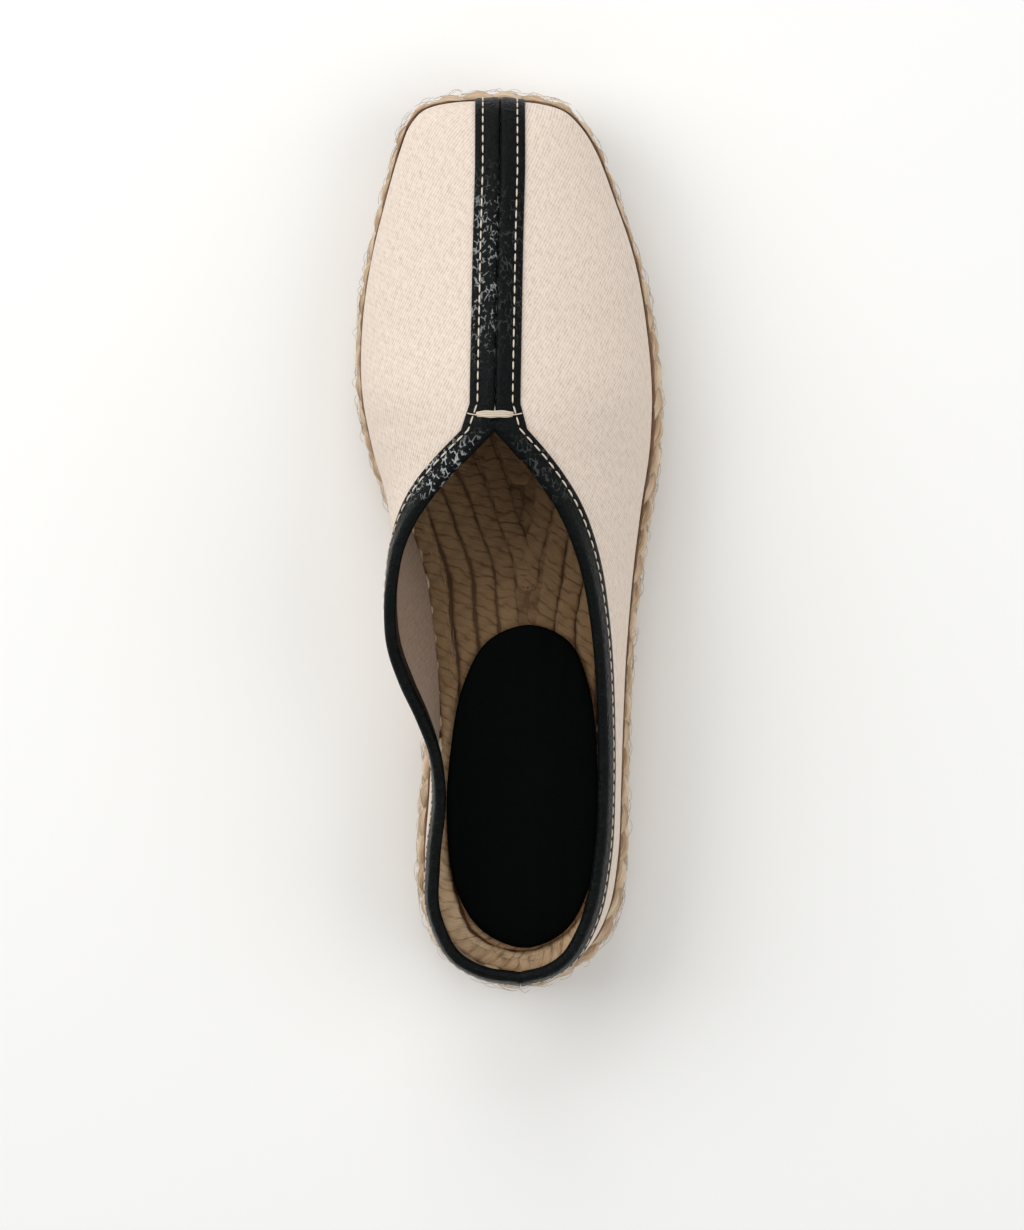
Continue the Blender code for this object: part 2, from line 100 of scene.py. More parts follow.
# Upper and its leather edges
WALL = 1.4
UPPER_SEAT = 0.5
LEATHER = 0.85
LEATHER_GAP = 0.15
BINDING_OUTER = 7.1
BINDING_INNER = 6.6
THROAT_T = 0.4
STRIP_END_T = 0.385
COLLAR_START_T = 0.407
RIDGE_START_T = 0.2
UPPER_ROWS = 40

# Stitches
STITCH_PITCH = 3.2
STITCH_LENGTH = 2.35
STITCH_RADIUS = 0.25
STITCH_FROM_FOLD = 4.9
STITCH_ON_LATERAL_COLLAR = 4.1

# Bar tack: threads across the throat, and the thin ends that run on from it
TACK_THREADS = 6
TACK_STEP = 0.30
TACK_HALF = 4.8
TACK_RADIUS = 0.24
TACK_END = 3.4
TACK_END_RADIUS = 0.17

# Half-breadths of the fold in the corner of the V, and the thickness of the sock
FOLD_WIDE = 1.75
FOLD_DEEP = 1.25
PAD_THICK = 1.6

# Camera: straight above, where the photograph's lines of sight meet
CAMERA_PLACE = (-3.4, -6.7, 1300.0)
CAMERA_LENS = 130.3
CAMERA_SHIFT = (0.0114, -0.0415)


def table(kind, *rows):
    """Rows of numbers as named tuples."""
    return [kind(*row) for row in rows]


# Sole outline: half-breadths at stations along the length, between its two end points
TOE_POINT = (-4.0, 129.0)
HEEL_POINT = (3.0, -129.0)
Station = namedtuple("Station", "y medial lateral")
OUTLINE = table(
    Station,
    (-126.0, -10.0, 15.0),
    (-119.0, -19.3, 25.2),
    (-107.0, -25.3, 31.5),
    (-91.0, -26.8, 34.0),
    (-70.0, -25.6, 34.4),
    (-50.0, -24.4, 34.9),
    (-30.0, -25.6, 36.0),
    (-10.0, -28.6, 38.2),
    (8.0, -34.6, 41.0),
    (26.0, -41.2, 43.8),
    (44.0, -44.3, 44.2),
    (62.0, -44.1, 42.0),
    (80.0, -41.6, 38.0),
    (98.0, -37.4, 31.8),
    (112.0, -33.5, 26.6),
    (120.0, -30.4, 21.8),
    (125.6, -25.0, 15.4),
)

# Ledge of jute left outside the upper's foot
Ledge = namedtuple("Ledge", "t medial lateral")
LEDGE = table(
    Ledge,
    (0.00, 3.6, 3.6),
    (0.09, 2.4, 2.4),
    (0.20, 2.3, 2.0),
    (0.36, 2.6, 3.6),
    (0.45, 3.0, 3.8),
    (0.60, 3.0, 2.7),
    (0.75, 2.9, 2.8),
    (0.87, 2.9, 3.6),
    (0.94, 3.3, 4.0),
    (1.00, 3.3, 3.3),
)

# Crest of the upper: the centre ridge back to the throat, then the edge of the collar
Crest = namedtuple("Crest", "t x y z")
RIDGE = table(
    Crest,
    (0.00, -2.8, 105.0, 44.2),
    (0.10, -3.0, 98.0, 46.2),
    (0.20, -3.4, 83.0, 50.3),
    (0.30, -3.8, 62.0, 56.6),
    (0.36, -4.1, 46.0, 61.0),
    (THROAT_T, -4.3, 33.0, 63.4),
)
COLLAR_MEDIAL = table(
    Crest,
    (THROAT_T, -4.3, 33.0, 63.4),
    (0.44, -17.3, 19.6, 61.6),
    (0.482, -27.0, 8.0, 60.0),
    (0.514, -31.4, -1.0, 59.0),
    (0.546, -33.4, -10.0, 58.0),
    (0.58, -34.3, -20.0, 56.6),
    (0.613, -33.6, -30.0, 54.4),
    (0.646, -30.3, -40.0, 51.8),
    (0.68, -25.7, -50.0, 49.0),
    (0.713, -21.9, -60.0, 46.6),
    (0.747, -20.4, -70.0, 45.0),
    (0.817, -22.0, -91.0, 43.6),
    (0.871, -21.8, -105.5, 43.3),
    (0.916, -16.3, -117.3, 43.3),
    (0.955, -8.3, -122.3, 43.3),
    (1.000, 3.0, -124.2, 43.3),
)
COLLAR_LATERAL = table(
    Crest,
    (THROAT_T, -4.3, 33.0, 63.4),
    (0.44, 6.6, 20.7, 61.2),
    (0.484, 15.5, 8.0, 58.9),
    (0.515, 19.6, -1.0, 57.0),
    (0.545, 22.4, -10.0, 55.2),
    (0.58, 24.4, -20.4, 53.3),
    (0.612, 25.6, -30.0, 51.7),
    (0.679, 26.8, -50.0, 48.5),
    (0.746, 27.0, -70.0, 46.0),
    (0.817, 25.7, -91.0, 44.2),
    (0.871, 22.6, -106.5, 43.3),
    (0.917, 17.2, -117.3, 43.3),
    (0.958, 11.0, -122.0, 43.3),
    (1.000, 3.0, -124.2, 43.3),
)

# Fullness of each section: its foot rises and bulges outwards, its crest reaches out and drops
Flank = namedtuple("Flank", "t rise bulge reach drop")
FLANK_MEDIAL = table(
    Flank,
    (0.00, 11.0, 0.5, 10.5, 3.2),
    (0.09, 9.5, 0.8, 17.0, 3.0),
    (0.20, 14.0, 3.0, 21.0, 2.5),
    (0.30, 19.0, 3.5, 25.0, 2.5),
    (0.40, 23.0, 3.8, 27.0, 3.2),
    (0.44, 22.0, 4.4, 15.0, 8.5),
    (0.482, 20.0, 5.2, 7.0, 11.5),
    (0.514, 18.0, 6.2, 3.6, 12.5),
    (0.546, 16.0, 7.0, 1.6, 13.0),
    (0.58, 15.0, 7.0, 0.2, 13.0),
    (0.613, 14.0, 6.2, -1.0, 12.5),
    (0.646, 13.0, 4.6, -1.5, 11.5),
    (0.68, 12.0, 2.8, -1.0, 10.5),
    (0.713, 10.0, 1.4, 0.0, 9.5),
    (0.747, 8.0, 1.0, 0.8, 9.0),
    (0.817, 8.0, 1.0, 1.2, 8.5),
    (0.90, 8.0, 1.0, 1.6, 8.5),
    (1.000, 8.0, 1.2, 2.2, 8.5),
)
FLANK_LATERAL = table(
    Flank,
    (0.00, 11.0, 0.5, 10.5, 3.2),
    (0.09, 9.5, 0.8, 15.0, 3.0),
    (0.20, 13.0, 2.0, 20.0, 3.2),
    (0.30, 16.0, 2.0, 24.0, 3.4),
    (0.40, 18.0, 1.6, 27.0, 4.0),
    (0.44, 17.0, 1.6, 18.0, 9.0),
    (0.484, 16.0, 1.5, 10.5, 11.0),
    (0.515, 15.0, 1.5, 7.5, 12.0),
    (0.545, 14.0, 1.4, 5.4, 12.0),
    (0.612, 12.0, 1.2, 3.9, 12.0),
    (0.679, 10.0, 1.2, 3.2, 11.0),
    (0.746, 8.0, 1.2, 2.9, 10.0),
    (0.817, 8.0, 1.0, 2.9, 9.0),
    (0.90, 8.0, 1.0, 2.6, 8.5),
    (1.000, 8.0, 1.2, 2.2, 8.5),
)

# Edge of the heel sock, from its front point round the lateral side
SOCK = [
    (5.5, -24.2),
    (17.0, -29.0),
    (22.8, -42.0),
    (25.0, -60.0),
    (25.2, -80.0),
    (23.0, -99.0),
    (16.0, -112.0),
    (4.5, -117.0),
    (-8.0, -112.0),
    (-15.5, -100.0),
    (-18.2, -80.0),
    (-17.0, -60.0),
    (-13.6, -42.0),
    (-6.5, -29.0),
]


# Curves and surfaces, as in the CAD


def catmull_rom(points, steps):
    """Closed centripetal Catmull-Rom curve through the points, as a fine polyline."""
    points = np.array(points, float)
    count = len(points)
    fine = []
    for i in range(count):
        a, b, c, d = (points[(i + k) % count] for k in (-1, 0, 1, 2))
        t1 = math.sqrt(np.linalg.norm(b - a))
        t2 = t1 + math.sqrt(np.linalg.norm(c - b))
        t3 = t2 + math.sqrt(np.linalg.norm(d - c))
        for step in range(steps):
            at = t1 + (t2 - t1) * step / steps
            ab = a + (b - a) * at / t1
            bc = b + (c - b) * (at - t1) / (t2 - t1)
            cd = c + (d - c) * (at - t2) / (t3 - t2)
            abc = ab + (bc - ab) * at / t2
            bcd = bc + (cd - bc) * (at - t1) / (t3 - t1)
            fine.append(abc + (bcd - abc) * (at - t1) / (t2 - t1))
    return np.array(fine)


def smooth(rows, at, column):
    """Value of one column of a table at t, through its rows with rounded corners."""
    t = np.array([row.t for row in rows])
    values = np.array([getattr(row, column) for row in rows])
    slopes = np.gradient(values, t)
    i = int(np.clip(np.searchsorted(t, at) - 1, 0, len(t) - 2))
    span = t[i + 1] - t[i]
    u = (at - t[i]) / span
    return (
        (2 * u**3 - 3 * u**2 + 1) * values[i]
        + (u**3 - 2 * u**2 + u) * span * slopes[i]
        + (-2 * u**3 + 3 * u**2) * values[i + 1]
        + (u**3 - u**2) * span * slopes[i + 1]
    )


def run_lengths(line):
    """Distance along a polyline at each of its points."""
    return np.concatenate([[0.0], np.cumsum(np.linalg.norm(np.diff(line, axis=0), axis=1))])


def at_distance(run, line, distance):
    """Point of a polyline at a distance along it."""
    return np.array([np.interp(distance, run, line[:, k]) for k in range(line.shape[1])])


class SoleEdge:
    """The sole's outline, read by side and by t."""

    def __init__(self):
        lateral = [(row.lateral, row.y) for row in reversed(OUTLINE)]
        medial = [(row.medial, row.y) for row in OUTLINE]
        steps = 16
        curve = catmull_rom([TOE_POINT, *lateral, HEEL_POINT, *medial], steps)
        heel = steps * (len(OUTLINE) + 1)
        halves = {
            "lateral": curve[: heel + 1],
            "medial": np.vstack([curve[heel:], curve[:1]])[::-1],
        }
        self.loop = curve
        self.sides = {name: (run_lengths(line), line) for name, line in halves.items()}

    def point(self, side, t, inset=0.0):
        run, line = self.sides[side]
        return at_distance(run, line, t * run[-1]) - inset * self.outward(side, t)

    def outward(self, side, t):
        """Outward direction in plan. At the toe and heel points both sides agree."""
        if t <= 0.0:
            return np.array([0.0, 1.0])
        if t >= 1.0:
            return np.array([0.0, -1.0])
        run, line = self.sides[side]
        half_step = 1.5
        here = t * run[-1]
        along = at_distance(run, line, min(here + half_step, run[-1])) - at_distance(
            run, line, max(here - half_step, 0.0)
        )
        along /= np.linalg.norm(along)
        turn = 1.0 if side == "lateral" else -1.0
        return turn * np.array([-along[1], along[0]])


EDGE = SoleEdge()


def spring(y):
    """How far the sole has curled up from the floor at y."""
    return TOE_SPRING * (np.maximum(y - SPRING_START_Y, 0.0) / SPRING_LENGTH) ** 2


def crest_point(side, t):
    if t <= THROAT_T:
        rows = RIDGE
    else:
        rows = COLLAR_MEDIAL if side == "medial" else COLLAR_LATERAL
    return np.array([smooth(rows, t, c) for c in "xyz"])


def foot_point(side, t):
    x, y = EDGE.point(side, t, smooth(LEDGE, t, side))
    return np.array([x, y, SOLE_TOP + UPPER_SEAT + spring(y)])


def meridian(side, t, steps=60):
    """Fine line of the upper's outer face at t, from its crest down to the sole."""
    rows = FLANK_MEDIAL if side == "medial" else FLANK_LATERAL
    rise, bulge, reach, drop = (smooth(rows, t, c) for c in Flank._fields[1:])
    foot, crest = foot_point(side, t), crest_point(side, t)
    out = np.append(EDGE.outward(side, t), 0.0)
    away = foot - crest
    away[2] = 0.0
    # Where foot and crest stand nearly over each other, the sole's outward direction decides
    lean = np.clip(np.linalg.norm(away) / 12.0, 0.0, 1.0)
    if away @ out < 0:
        lean = 0.0
    away = lean * away / max(np.linalg.norm(away), 1e-6) + (1.0 - lean) * out
    away /= np.linalg.norm(away)
    handles = [crest, crest + reach * away - drop * UP, foot + bulge * out + rise * UP, foot]
    u = np.linspace(0.0, 1.0, steps + 1)[:, None]
    return (
        (1 - u) ** 3 * handles[0]
        + 3 * (1 - u) ** 2 * u * handles[1]
        + 3 * (1 - u) * u**2 * handles[2]
        + u**3 * handles[3]
    )


def down_from_crest(line, distance):
    """Point and downward direction on a meridian, at a distance below its crest."""
    run = run_lengths(line)
    along = (line[1] - line[0]) / run[1]
    if distance <= 0.0:
        return line[0] + along * distance, along
    along = at_distance(run, line, distance + 0.5) - at_distance(run, line, distance - 0.5)
    return at_distance(run, line, distance), along / np.linalg.norm(along)


def wall_frame(side, t):
    """A function from (distance below the crest, height off the outer face) to a point."""
    step = 0.004
    lines = [meridian(side, min(max(t + k * step, 0.0), 1.0)) for k in (-1, 0, 1)]
    turn = -1.0 if side == "medial" else 1.0

    def place(distance, height):
        before, here, after = (down_from_crest(line, distance) for line in lines)
        normal = turn * np.cross(after[0] - before[0], here[1])
        return here[0] + height * normal / np.linalg.norm(normal)

    return place


# Meshes


def new_object(name, data):
    made = bpy.data.objects.new(name, data)
    bpy.context.scene.collection.objects.link(made)
    return made


def corner_points(mesh):
    """Index of the point at each corner of the mesh's faces."""
    corners = np.empty(len(mesh.loops), int)
    mesh.loops.foreach_get("vertex_index", corners)
    return corners


def add_mesh(name, points, faces, materials, uvs=None, weld=0.0, attributes=None):
    """One object from points in millimetres. uvs holds one pair for each point."""
    mesh = bpy.data.meshes.new(name)
    mesh.from_pydata((np.asarray(points, float) * MM).tolist(), [], faces)
    if uvs is not None:
        layer = mesh.uv_layers.new(name="UVMap")
        layer.data.foreach_set("uv", np.asarray(uvs, float)[corner_points(mesh)].ravel())
    for key, values in (attributes or {}).items():
        made = mesh.attributes.new(key, "FLOAT", "POINT")
        made.data.foreach_set("value", np.asarray(values, float))
    for material in materials:
        mesh.materials.append(material)
    bm = bmesh.new()
    bm.from_mesh(mesh)
    if weld:
        bmesh.ops.remove_doubles(bm, verts=bm.verts, dist=weld * MM)
    bmesh.ops.recalc_face_normals(bm, faces=bm.faces)
    bm.to_mesh(mesh)
    bm.free()
    mesh.shade_smooth()
    return new_object(name, mesh)


def grid_faces(columns, rows, wrap_columns=False, wrap_rows=False):
    """Quads of a grid of points that is stored column by column."""
    faces = []
    for i in range(columns if wrap_columns else columns - 1):
        j = (i + 1) % columns
        for k in range(rows if wrap_rows else rows - 1):
            m = (k + 1) % rows
            faces.append((i * rows + k, i * rows + m, j * rows + m, j * rows + k))
    return faces


def end_faces(columns, rows):
    """The two end faces of a grid whose rows are wrapped."""
    last = (columns - 1) * rows
    return [tuple(range(rows)), tuple(last + k for k in reversed(range(rows)))]


def tube(path, across, wide, deep, sides, closed):
    """Points and faces of a tube on a path. across gives the direction of its depth."""
    path = np.asarray(path, float)
    if closed:
        along = np.roll(path, -1, axis=0) - np.roll(path, 1, axis=0)
    else:
        along = np.gradient(path, axis=0)
    along /= np.linalg.norm(along, axis=1)[:, None]
    side = np.cross(along, across)
    side /= np.linalg.norm(side, axis=1)[:, None]
    depth = np.cross(side, along)
    turns = np.linspace(0.0, math.tau, sides, endpoint=False)
    wide = np.broadcast_to(wide, (len(path), sides))
    points = (
        path[:, None, :]
        + (deep * np.cos(turns))[None, :, None] * depth[:, None, :]
        + (wide * np.sin(turns))[..., None] * side[:, None, :]
    )
    faces = grid_faces(len(path), sides, wrap_columns=closed, wrap_rows=True)
    if not closed:
        faces += end_faces(len(path), sides)
    return points.reshape(-1, 3), faces


def join_parts(parts):
    """Points and faces of several meshes as one."""
    points, faces, base = [], [], 0
    for part_points, part_faces in parts:
        points.append(part_points)
        faces += [tuple(base + k for k in face) for face in part_faces]
        base += len(part_points)
    return np.vstack(points), faces


# Materials

BLACK = (0.0, 0.0, 0.0)
WHITE = (1.0, 1.0, 1.0)


class Shader:
    """A Principled material whose nodes are added by short calls."""

    def __init__(self, name, roughness, **sockets):
        self.material = bpy.data.materials.new(name)
        self.material.use_nodes = True
        self.tree = self.material.node_tree
        self.surface = self.tree.nodes["Principled BSDF"]
        self.surface.inputs["Roughness"].default_value = roughness
        for socket, value in sockets.items():
            self.surface.inputs[socket.replace("_", " ")].default_value = value

    def node(self, kind, inputs=None, **settings):
        made = self.tree.nodes.new(kind)
        for key, value in settings.items():
            setattr(made, key, value)
        for key, value in (inputs or {}).items():
            self.put(value, made.inputs[key])
        return made

    def put(self, value, socket):
        if isinstance(value, bpy.types.NodeSocket):
            self.tree.links.new(value, socket)
        else:
            socket.default_value = value

    def coordinates(self, source, scale=(1.0, 1.0, 1.0), rotation=0.0):
        place = self.node("ShaderNodeTexCoord").outputs[source]
        inputs = {"Vector": place, "Scale": scale, "Rotation": (0, 0, rotation)}
        return self.node("ShaderNodeMapping", inputs).outputs["Vector"]

    def noise(self, vector, scale, detail=3.0, roughness=0.55):
        inputs = {"Vector": vector, "Scale": scale, "Detail": detail, "Roughness": roughness}
        return self.node("ShaderNodeTexNoise", inputs).outputs["Fac"]

    def cell_edges(self, vector, scale):
        inputs = {"Vector": vector, "Scale": scale}
        cells = self.node("ShaderNodeTexVoronoi", inputs, feature="DISTANCE_TO_EDGE")
        return cells.outputs["Distance"]

    def wave(self, vector, scale, distortion=0.0, direction="X", detail_scale=1.0):
        inputs = {"Vector": vector, "Scale": scale, "Distortion": distortion}
        inputs |= {"Detail": 2.0, "Detail Scale": detail_scale}
        return self.node("ShaderNodeTexWave", inputs, bands_direction=direction).outputs["Fac"]

    def math(self, operation, a, b=0.0):
        made = self.node("ShaderNodeMath", operation=operation)
        self.put(a, made.inputs[0])
        self.put(b, made.inputs[1])
        return made.outputs[0]

    def weighted(self, *terms):
        """Sum of values, each times its weight."""
        parts = [self.math("MULTIPLY", value, weight) for value, weight in terms]
        return functools.reduce(lambda a, b: self.math("ADD", a, b), parts)

    def ramp(self, value, stops):
        made = self.node("ShaderNodeValToRGB", {"Fac": value})
        elements = made.color_ramp.elements
        while len(elements) < len(stops):
            elements.new(0.5)
        for element, (place, colour) in zip(elements, stops):
            element.position = place
            element.color = (*colour, 1.0)
        return made.outputs["Color"]

    def remap(self, value, low, high):
        inputs = {"Value": value, "To Min": low, "To Max": high}
        return self.node("ShaderNodeMapRange", inputs).outputs["Result"]

    def mix(self, factor, a, b, blend="MIX"):
        made = self.node("ShaderNodeMix", data_type="RGBA", blend_type=blend)
        self.put(factor, made.inputs[0])
        for value, socket in ((a, made.inputs[6]), (b, made.inputs[7])):
            self.put((*value, 1.0) if isinstance(value, tuple) else value, socket)
        return made.outputs[2]

    def attribute(self, name):
        return self.node("ShaderNodeAttribute", attribute_name=name).outputs["Fac"]

    def bump(self, height, distance_mm, strength):
        inputs = {"Height": height, "Strength": strength, "Distance": distance_mm * MM}
        return self.node("ShaderNodeBump", inputs).outputs["Normal"]

    def finish(self, colour=None, roughness=None, normal=None):
        inputs = self.surface.inputs
        for value, key in ((colour, "Base Color"), (roughness, "Roughness"), (normal, "Normal")):
            if value is not None:
                self.put((*value, 1.0) if isinstance(value, tuple) else value, inputs[key])
        return self.material


TWILL_PITCH = 0.82
TWILL_ANGLE = math.radians(62.0)


def canvas_material(name, light, dark, shadow):
    """Twill canvas. Its UVs are in metres on the flat cloth."""
    s = Shader(name, 0.92, Sheen_Weight=0.12, Sheen_Roughness=0.5, Specular_IOR_Level=0.25)
    cloth = s.coordinates("UV")
    # A wave of scale 1 repeats every pi/10 units
    twill_scale = math.pi / 10 / (TWILL_PITCH * MM)
    along_twill = s.coordinates("UV", rotation=math.radians(90.0) - TWILL_ANGLE)
    twill = s.wave(along_twill, twill_scale, 2.2, detail_scale=0.5)
    floats = s.wave(along_twill, twill_scale * 0.55, 3.0, "Y", detail_scale=0.7)
    slub = s.noise(s.coordinates("UV", (900.0, 420.0, 1.0), 0.5), 1.0, 4.0, 0.65)
    fuzz = s.noise(cloth, 2600.0, 2.0)
    cloudy = s.noise(cloth, 70.0, 4.0)
    weave = s.math("MULTIPLY", twill, s.remap(floats, 0.55, 1.0))
    weave = s.weighted((weave, 0.30), (slub, 0.70), (fuzz, 0.30))
    colour = s.ramp(weave, [(0.34, shadow), (0.56, dark), (0.80, light)])
    colour = s.mix(s.remap(cloudy, 0.0, 0.3), colour, dark)
    return s.finish(colour, normal=s.bump(weave, 0.14, 0.8))


def leather_material(name, base, worn, roughness, grain, crinkle, depth, shine):
    """Grained leather, crinkled where it has been folded, with painted highlights where the mesh
    marks them.
    """
    s = Shader(name, roughness, Specular_IOR_Level=shine)
    hide = s.coordinates("Object")
    cells = s.cell_edges(hide, grain)
    pores = s.ramp(cells, [(0.0, BLACK), (0.22, WHITE)])
    folds = s.noise(hide, crinkle, 4.0, 0.6)
    folds = s.math("ABSOLUTE", s.math("SUBTRACT", folds, 0.5))
    height = s.weighted((pores, 0.12), (folds, 4.5))
    rubbed = s.ramp(s.noise(hide, crinkle * 0.6, 4.0), [(0.55, BLACK), (0.8, WHITE)])
    colour = s.mix(rubbed, base, worn)
    # Painted highlights: short pale glints on the crinkles, only where the mesh marks them
    glint_lines = s.ramp(
        s.cell_edges(s.coordinates("Object", (1.0, 0.6, 1.0), 0.5), 760.0),
        [(0.03, WHITE), (0.12, BLACK)],
    )
    broken = s.ramp(s.noise(hide, 520.0, 3.0), [(0.48, BLACK), (0.56, WHITE)])
    glint_shown = s.math("MULTIPLY", s.math("MULTIPLY", glint_lines, broken), s.attribute("painted_glint"))
    colour = s.mix(glint_shown, colour, (0.42, 0.45, 0.44))
    gloss = s.remap(s.noise(hide, 420.0, 3.0), roughness - 0.08, roughness + 0.14)
    return s.finish(colour, gloss, s.bump(height, depth, 0.9))


def jute_material(name, pale, mid, deep):
    """Strand of jute. Its UVs are (turns round the strand, metres along it)."""
    s = Shader(name, 0.9, Specular_IOR_Level=0.2, Sheen_Weight=0.15, Sheen_Roughness=0.45)
    fibres = s.noise(s.coordinates("UV", (34.0, 190.0, 1.0)), 1.0, 5.0, 0.7)
    yarns = s.wave(s.coordinates("UV", (1.0, 42.0, 1.0)), 1.25, 1.1, "DIAGONAL")
    return jute_surface(s, fibres, yarns, pale, mid, deep)


STRAND_PITCH = 2.9
STRAND_SLANT = math.radians(-32.0)


def footbed_material(name, pale, mid, deep):
    """Row of the footbed. Its UVs are (metres across the row, metres along it)."""
    s = Shader(name, 0.9, Specular_IOR_Level=0.2, Sheen_Weight=0.15, Sheen_Roughness=0.45)
    across = s.coordinates("UV", rotation=STRAND_SLANT)
    scaled = s.node("ShaderNodeMapping", {"Vector": across, "Scale": (260.0, 2600.0, 1.0)})
    fibres = s.noise(scaled.outputs["Vector"], 1.0, 5.0, 0.7)
    strands = s.wave(across, math.pi / 10 / (STRAND_PITCH * MM), 7.0, "Y", detail_scale=1.1)
    yarns = s.ramp(strands, [(0.0, BLACK), (0.3, (0.9, 0.9, 0.9)), (1.0, WHITE)])
    faint = s.remap(s.noise(s.coordinates("UV"), 160.0, 2.0), -0.2, 1.5)
    yarns = s.math("ADD", s.math("MULTIPLY", yarns, faint), s.math("SUBTRACT", 1.0, faint))
    return jute_surface(s, fibres, yarns, pale, mid, deep, 0.26, 0.95)


def jute_surface(s, fibres, yarns, pale, mid, deep, furrow=0.14, stringy=0.62):
    """Colour and relief of jute from its fibre and yarn patterns, with painted shade where the
    mesh marks its hollows.
    """
    patches = s.noise(s.coordinates("Object"), 75.0, 3.0)
    # Fibres and yarns vary the tone about a fixed level
    level = s.math("SUBTRACT", s.math("MULTIPLY", patches, 0.25), 0.5 * (stringy + furrow) - 0.31)
    tone = s.math("ADD", s.weighted((fibres, stringy), (yarns, furrow)), level)
    colour = s.ramp(tone, [(0.29, deep), (0.46, mid), (0.65, pale)])
    # Painted shade: a multiply that darkens the footbed towards its front
    colour = s.mix(s.attribute("shaded_front"), colour, (0.40, 0.34, 0.28), "MULTIPLY")
    # Painted shade: darker towards dark brown where the strands lie deep between others
    shade = s.math("POWER", s.attribute("crevice_shade"), 1.6)
    colour = s.mix(s.remap(shade, 0.0, 0.92), colour, (0.16, 0.08, 0.03), "MULTIPLY")
    height = s.weighted((fibres, 1.0), (yarns, 0.5))
    return s.finish(colour, normal=s.bump(height, 0.4, 0.9))


def thread_material(name, pale, dark):
    """Plied thread. Its ply runs along V, in metres."""
    s = Shader(name, 0.6, Specular_IOR_Level=0.35, Sheen_Weight=0.1)
    ply = s.wave(s.coordinates("UV", (1.0, 900.0, 1.0)), 1.2, 0.4, "DIAGONAL")
    return s.finish(s.mix(ply, dark, pale), normal=s.bump(ply, 0.08, 0.7))


def rubber_material(name):
    """Gum rubber with a fine pressed pattern of ribs underneath."""
    s = Shader(name, 0.72, Specular_IOR_Level=0.35)
    place = s.coordinates("Object")
    ribs = s.wave(place, 95.0, 0.0, "Y")
    crumb = s.noise(place, 900.0, 4.0)
    blotch = s.noise(place, 60.0, 3.0)
    colour = s.ramp(blotch, [(0.3, (0.30, 0.17, 0.085)), (0.7, (0.42, 0.26, 0.14))])
    height = s.weighted((ribs, 1.0), (crumb, 0.2))
    return s.finish(colour, normal=s.bump(height, 0.5, 0.8))


# Pieces


def spaced(*legs):
    """Even steps from each leg's start to the next: (start, number of points)."""
    parts = [np.linspace(a[0], b[0], a[1])[:-1] for a, b in zip(legs, legs[1:])]
    return np.append(np.concatenate(parts), legs[-1][0])


# Columns of the upper, closer together round the toe's corners, and of the folded leather
UPPER_TS = spaced((0.0, 40), (0.14, 40), (THROAT_T, 36), (0.56, 40), (0.86, 24), (1.0, 0))
COLLAR_TS = spaced((COLLAR_START_T, 60), (0.56, 70), (0.86, 44), (1.0, 0))


def build_upper(outer, shaded_lining):
    """Canvas shell: the outer face, unwrapped as flat cloth and then given its wall."""
    shares = np.linspace(0.0, 1.0, UPPER_ROWS)
    points = []
    for side in ("medial", "lateral"):
        for t in UPPER_TS:
            line = meridian(side, t)
            run = run_lengths(line)
            points += [at_distance(run, line, share * run[-1]) for share in shares]
    points = np.array(points)
    half = len(UPPER_TS) * UPPER_ROWS
    one = grid_faces(len(UPPER_TS), UPPER_ROWS)
    flat = [flat_cloth(points[:half], one, False), flat_cloth(points[half:], one, True)]
    faces = one + [tuple(half + k for k in face) for face in one]
    upper = add_mesh("canvas_upper", points, faces, [outer, shaded_lining], np.vstack(flat), weld=0.02)
    face_outwards(upper)
    wall = upper.modifiers.new("wall", "SOLIDIFY")
    wall.thickness = WALL * MM
    wall.offset = -1.0
    wall.use_even_offset = True
    # The wall's inner face takes the second material, the darker canvas of painted shade
    wall.material_offset = 1
    wall.material_offset_rim = 0
    return upper


def face_outwards(obj):
    """Turn the faces of an open shell away from the shoe's inside."""
    mesh = obj.data
    inside = Vector((0.0, 60.0 * MM, 30.0 * MM))
    nearest = min(mesh.polygons, key=lambda p: (p.center - inside).length)
    if nearest.normal.dot(nearest.center - inside) < 0:
        mesh.flip_normals()


def flat_cloth(points, faces, on_right):
    """Coordinates in metres of one half of the upper laid flat, with the ridge along V."""
    mesh = bpy.data.meshes.new("pattern")
    mesh.from_pydata((points * MM).tolist(), [], faces)
    mesh.uv_layers.new(name="UVMap")
    pattern = new_object("pattern", mesh)
    bpy.ops.object.select_all(action="DESELECT")
    bpy.context.view_layer.objects.active = pattern
    pattern.select_set(True)
    bpy.ops.object.mode_set(mode="EDIT")
    bpy.ops.mesh.select_all(action="SELECT")
    bpy.ops.uv.unwrap(method="ANGLE_BASED", margin=0.0)
    bpy.ops.object.mode_set(mode="OBJECT")
    flat = np.empty(len(mesh.loops) * 2)
    mesh.uv_layers[0].data.foreach_get("uv", flat)
    uvs = np.zeros((len(points), 2))
    uvs[corner_points(mesh)] = flat.reshape(-1, 2)
    bpy.data.objects.remove(pattern)
    # The ridge behind the toe sets the direction and the scale
    throat, start = (
        np.argmin(np.abs(UPPER_TS - t)) * UPPER_ROWS for t in (THROAT_T, RIDGE_START_T)
    )
    real = np.linalg.norm(points[throat] - points[start]) * MM
    ridge = uvs[start] - uvs[throat]
    length = np.linalg.norm(ridge)
    forward = ridge / length
    right = np.array([forward[1], -forward[0]])
    uvs = (uvs - uvs[throat]) @ np.stack([right, forward], axis=1) * (real / length)
    middle = len(points) // 2 + UPPER_ROWS // 2
    if (uvs[middle, 0] > 0) != on_right:
        uvs[:, 0] = -uvs[:, 0]
    return uvs


def rest_on(tree, start, direction, reach=14.0):
    """Where a line that drops from outside meets the upper's outer face."""
    hit = tree.ray_cast(Vector((start + reach * direction) * MM), Vector(-direction))[0]
    return start if hit is None else np.array(hit) / MM


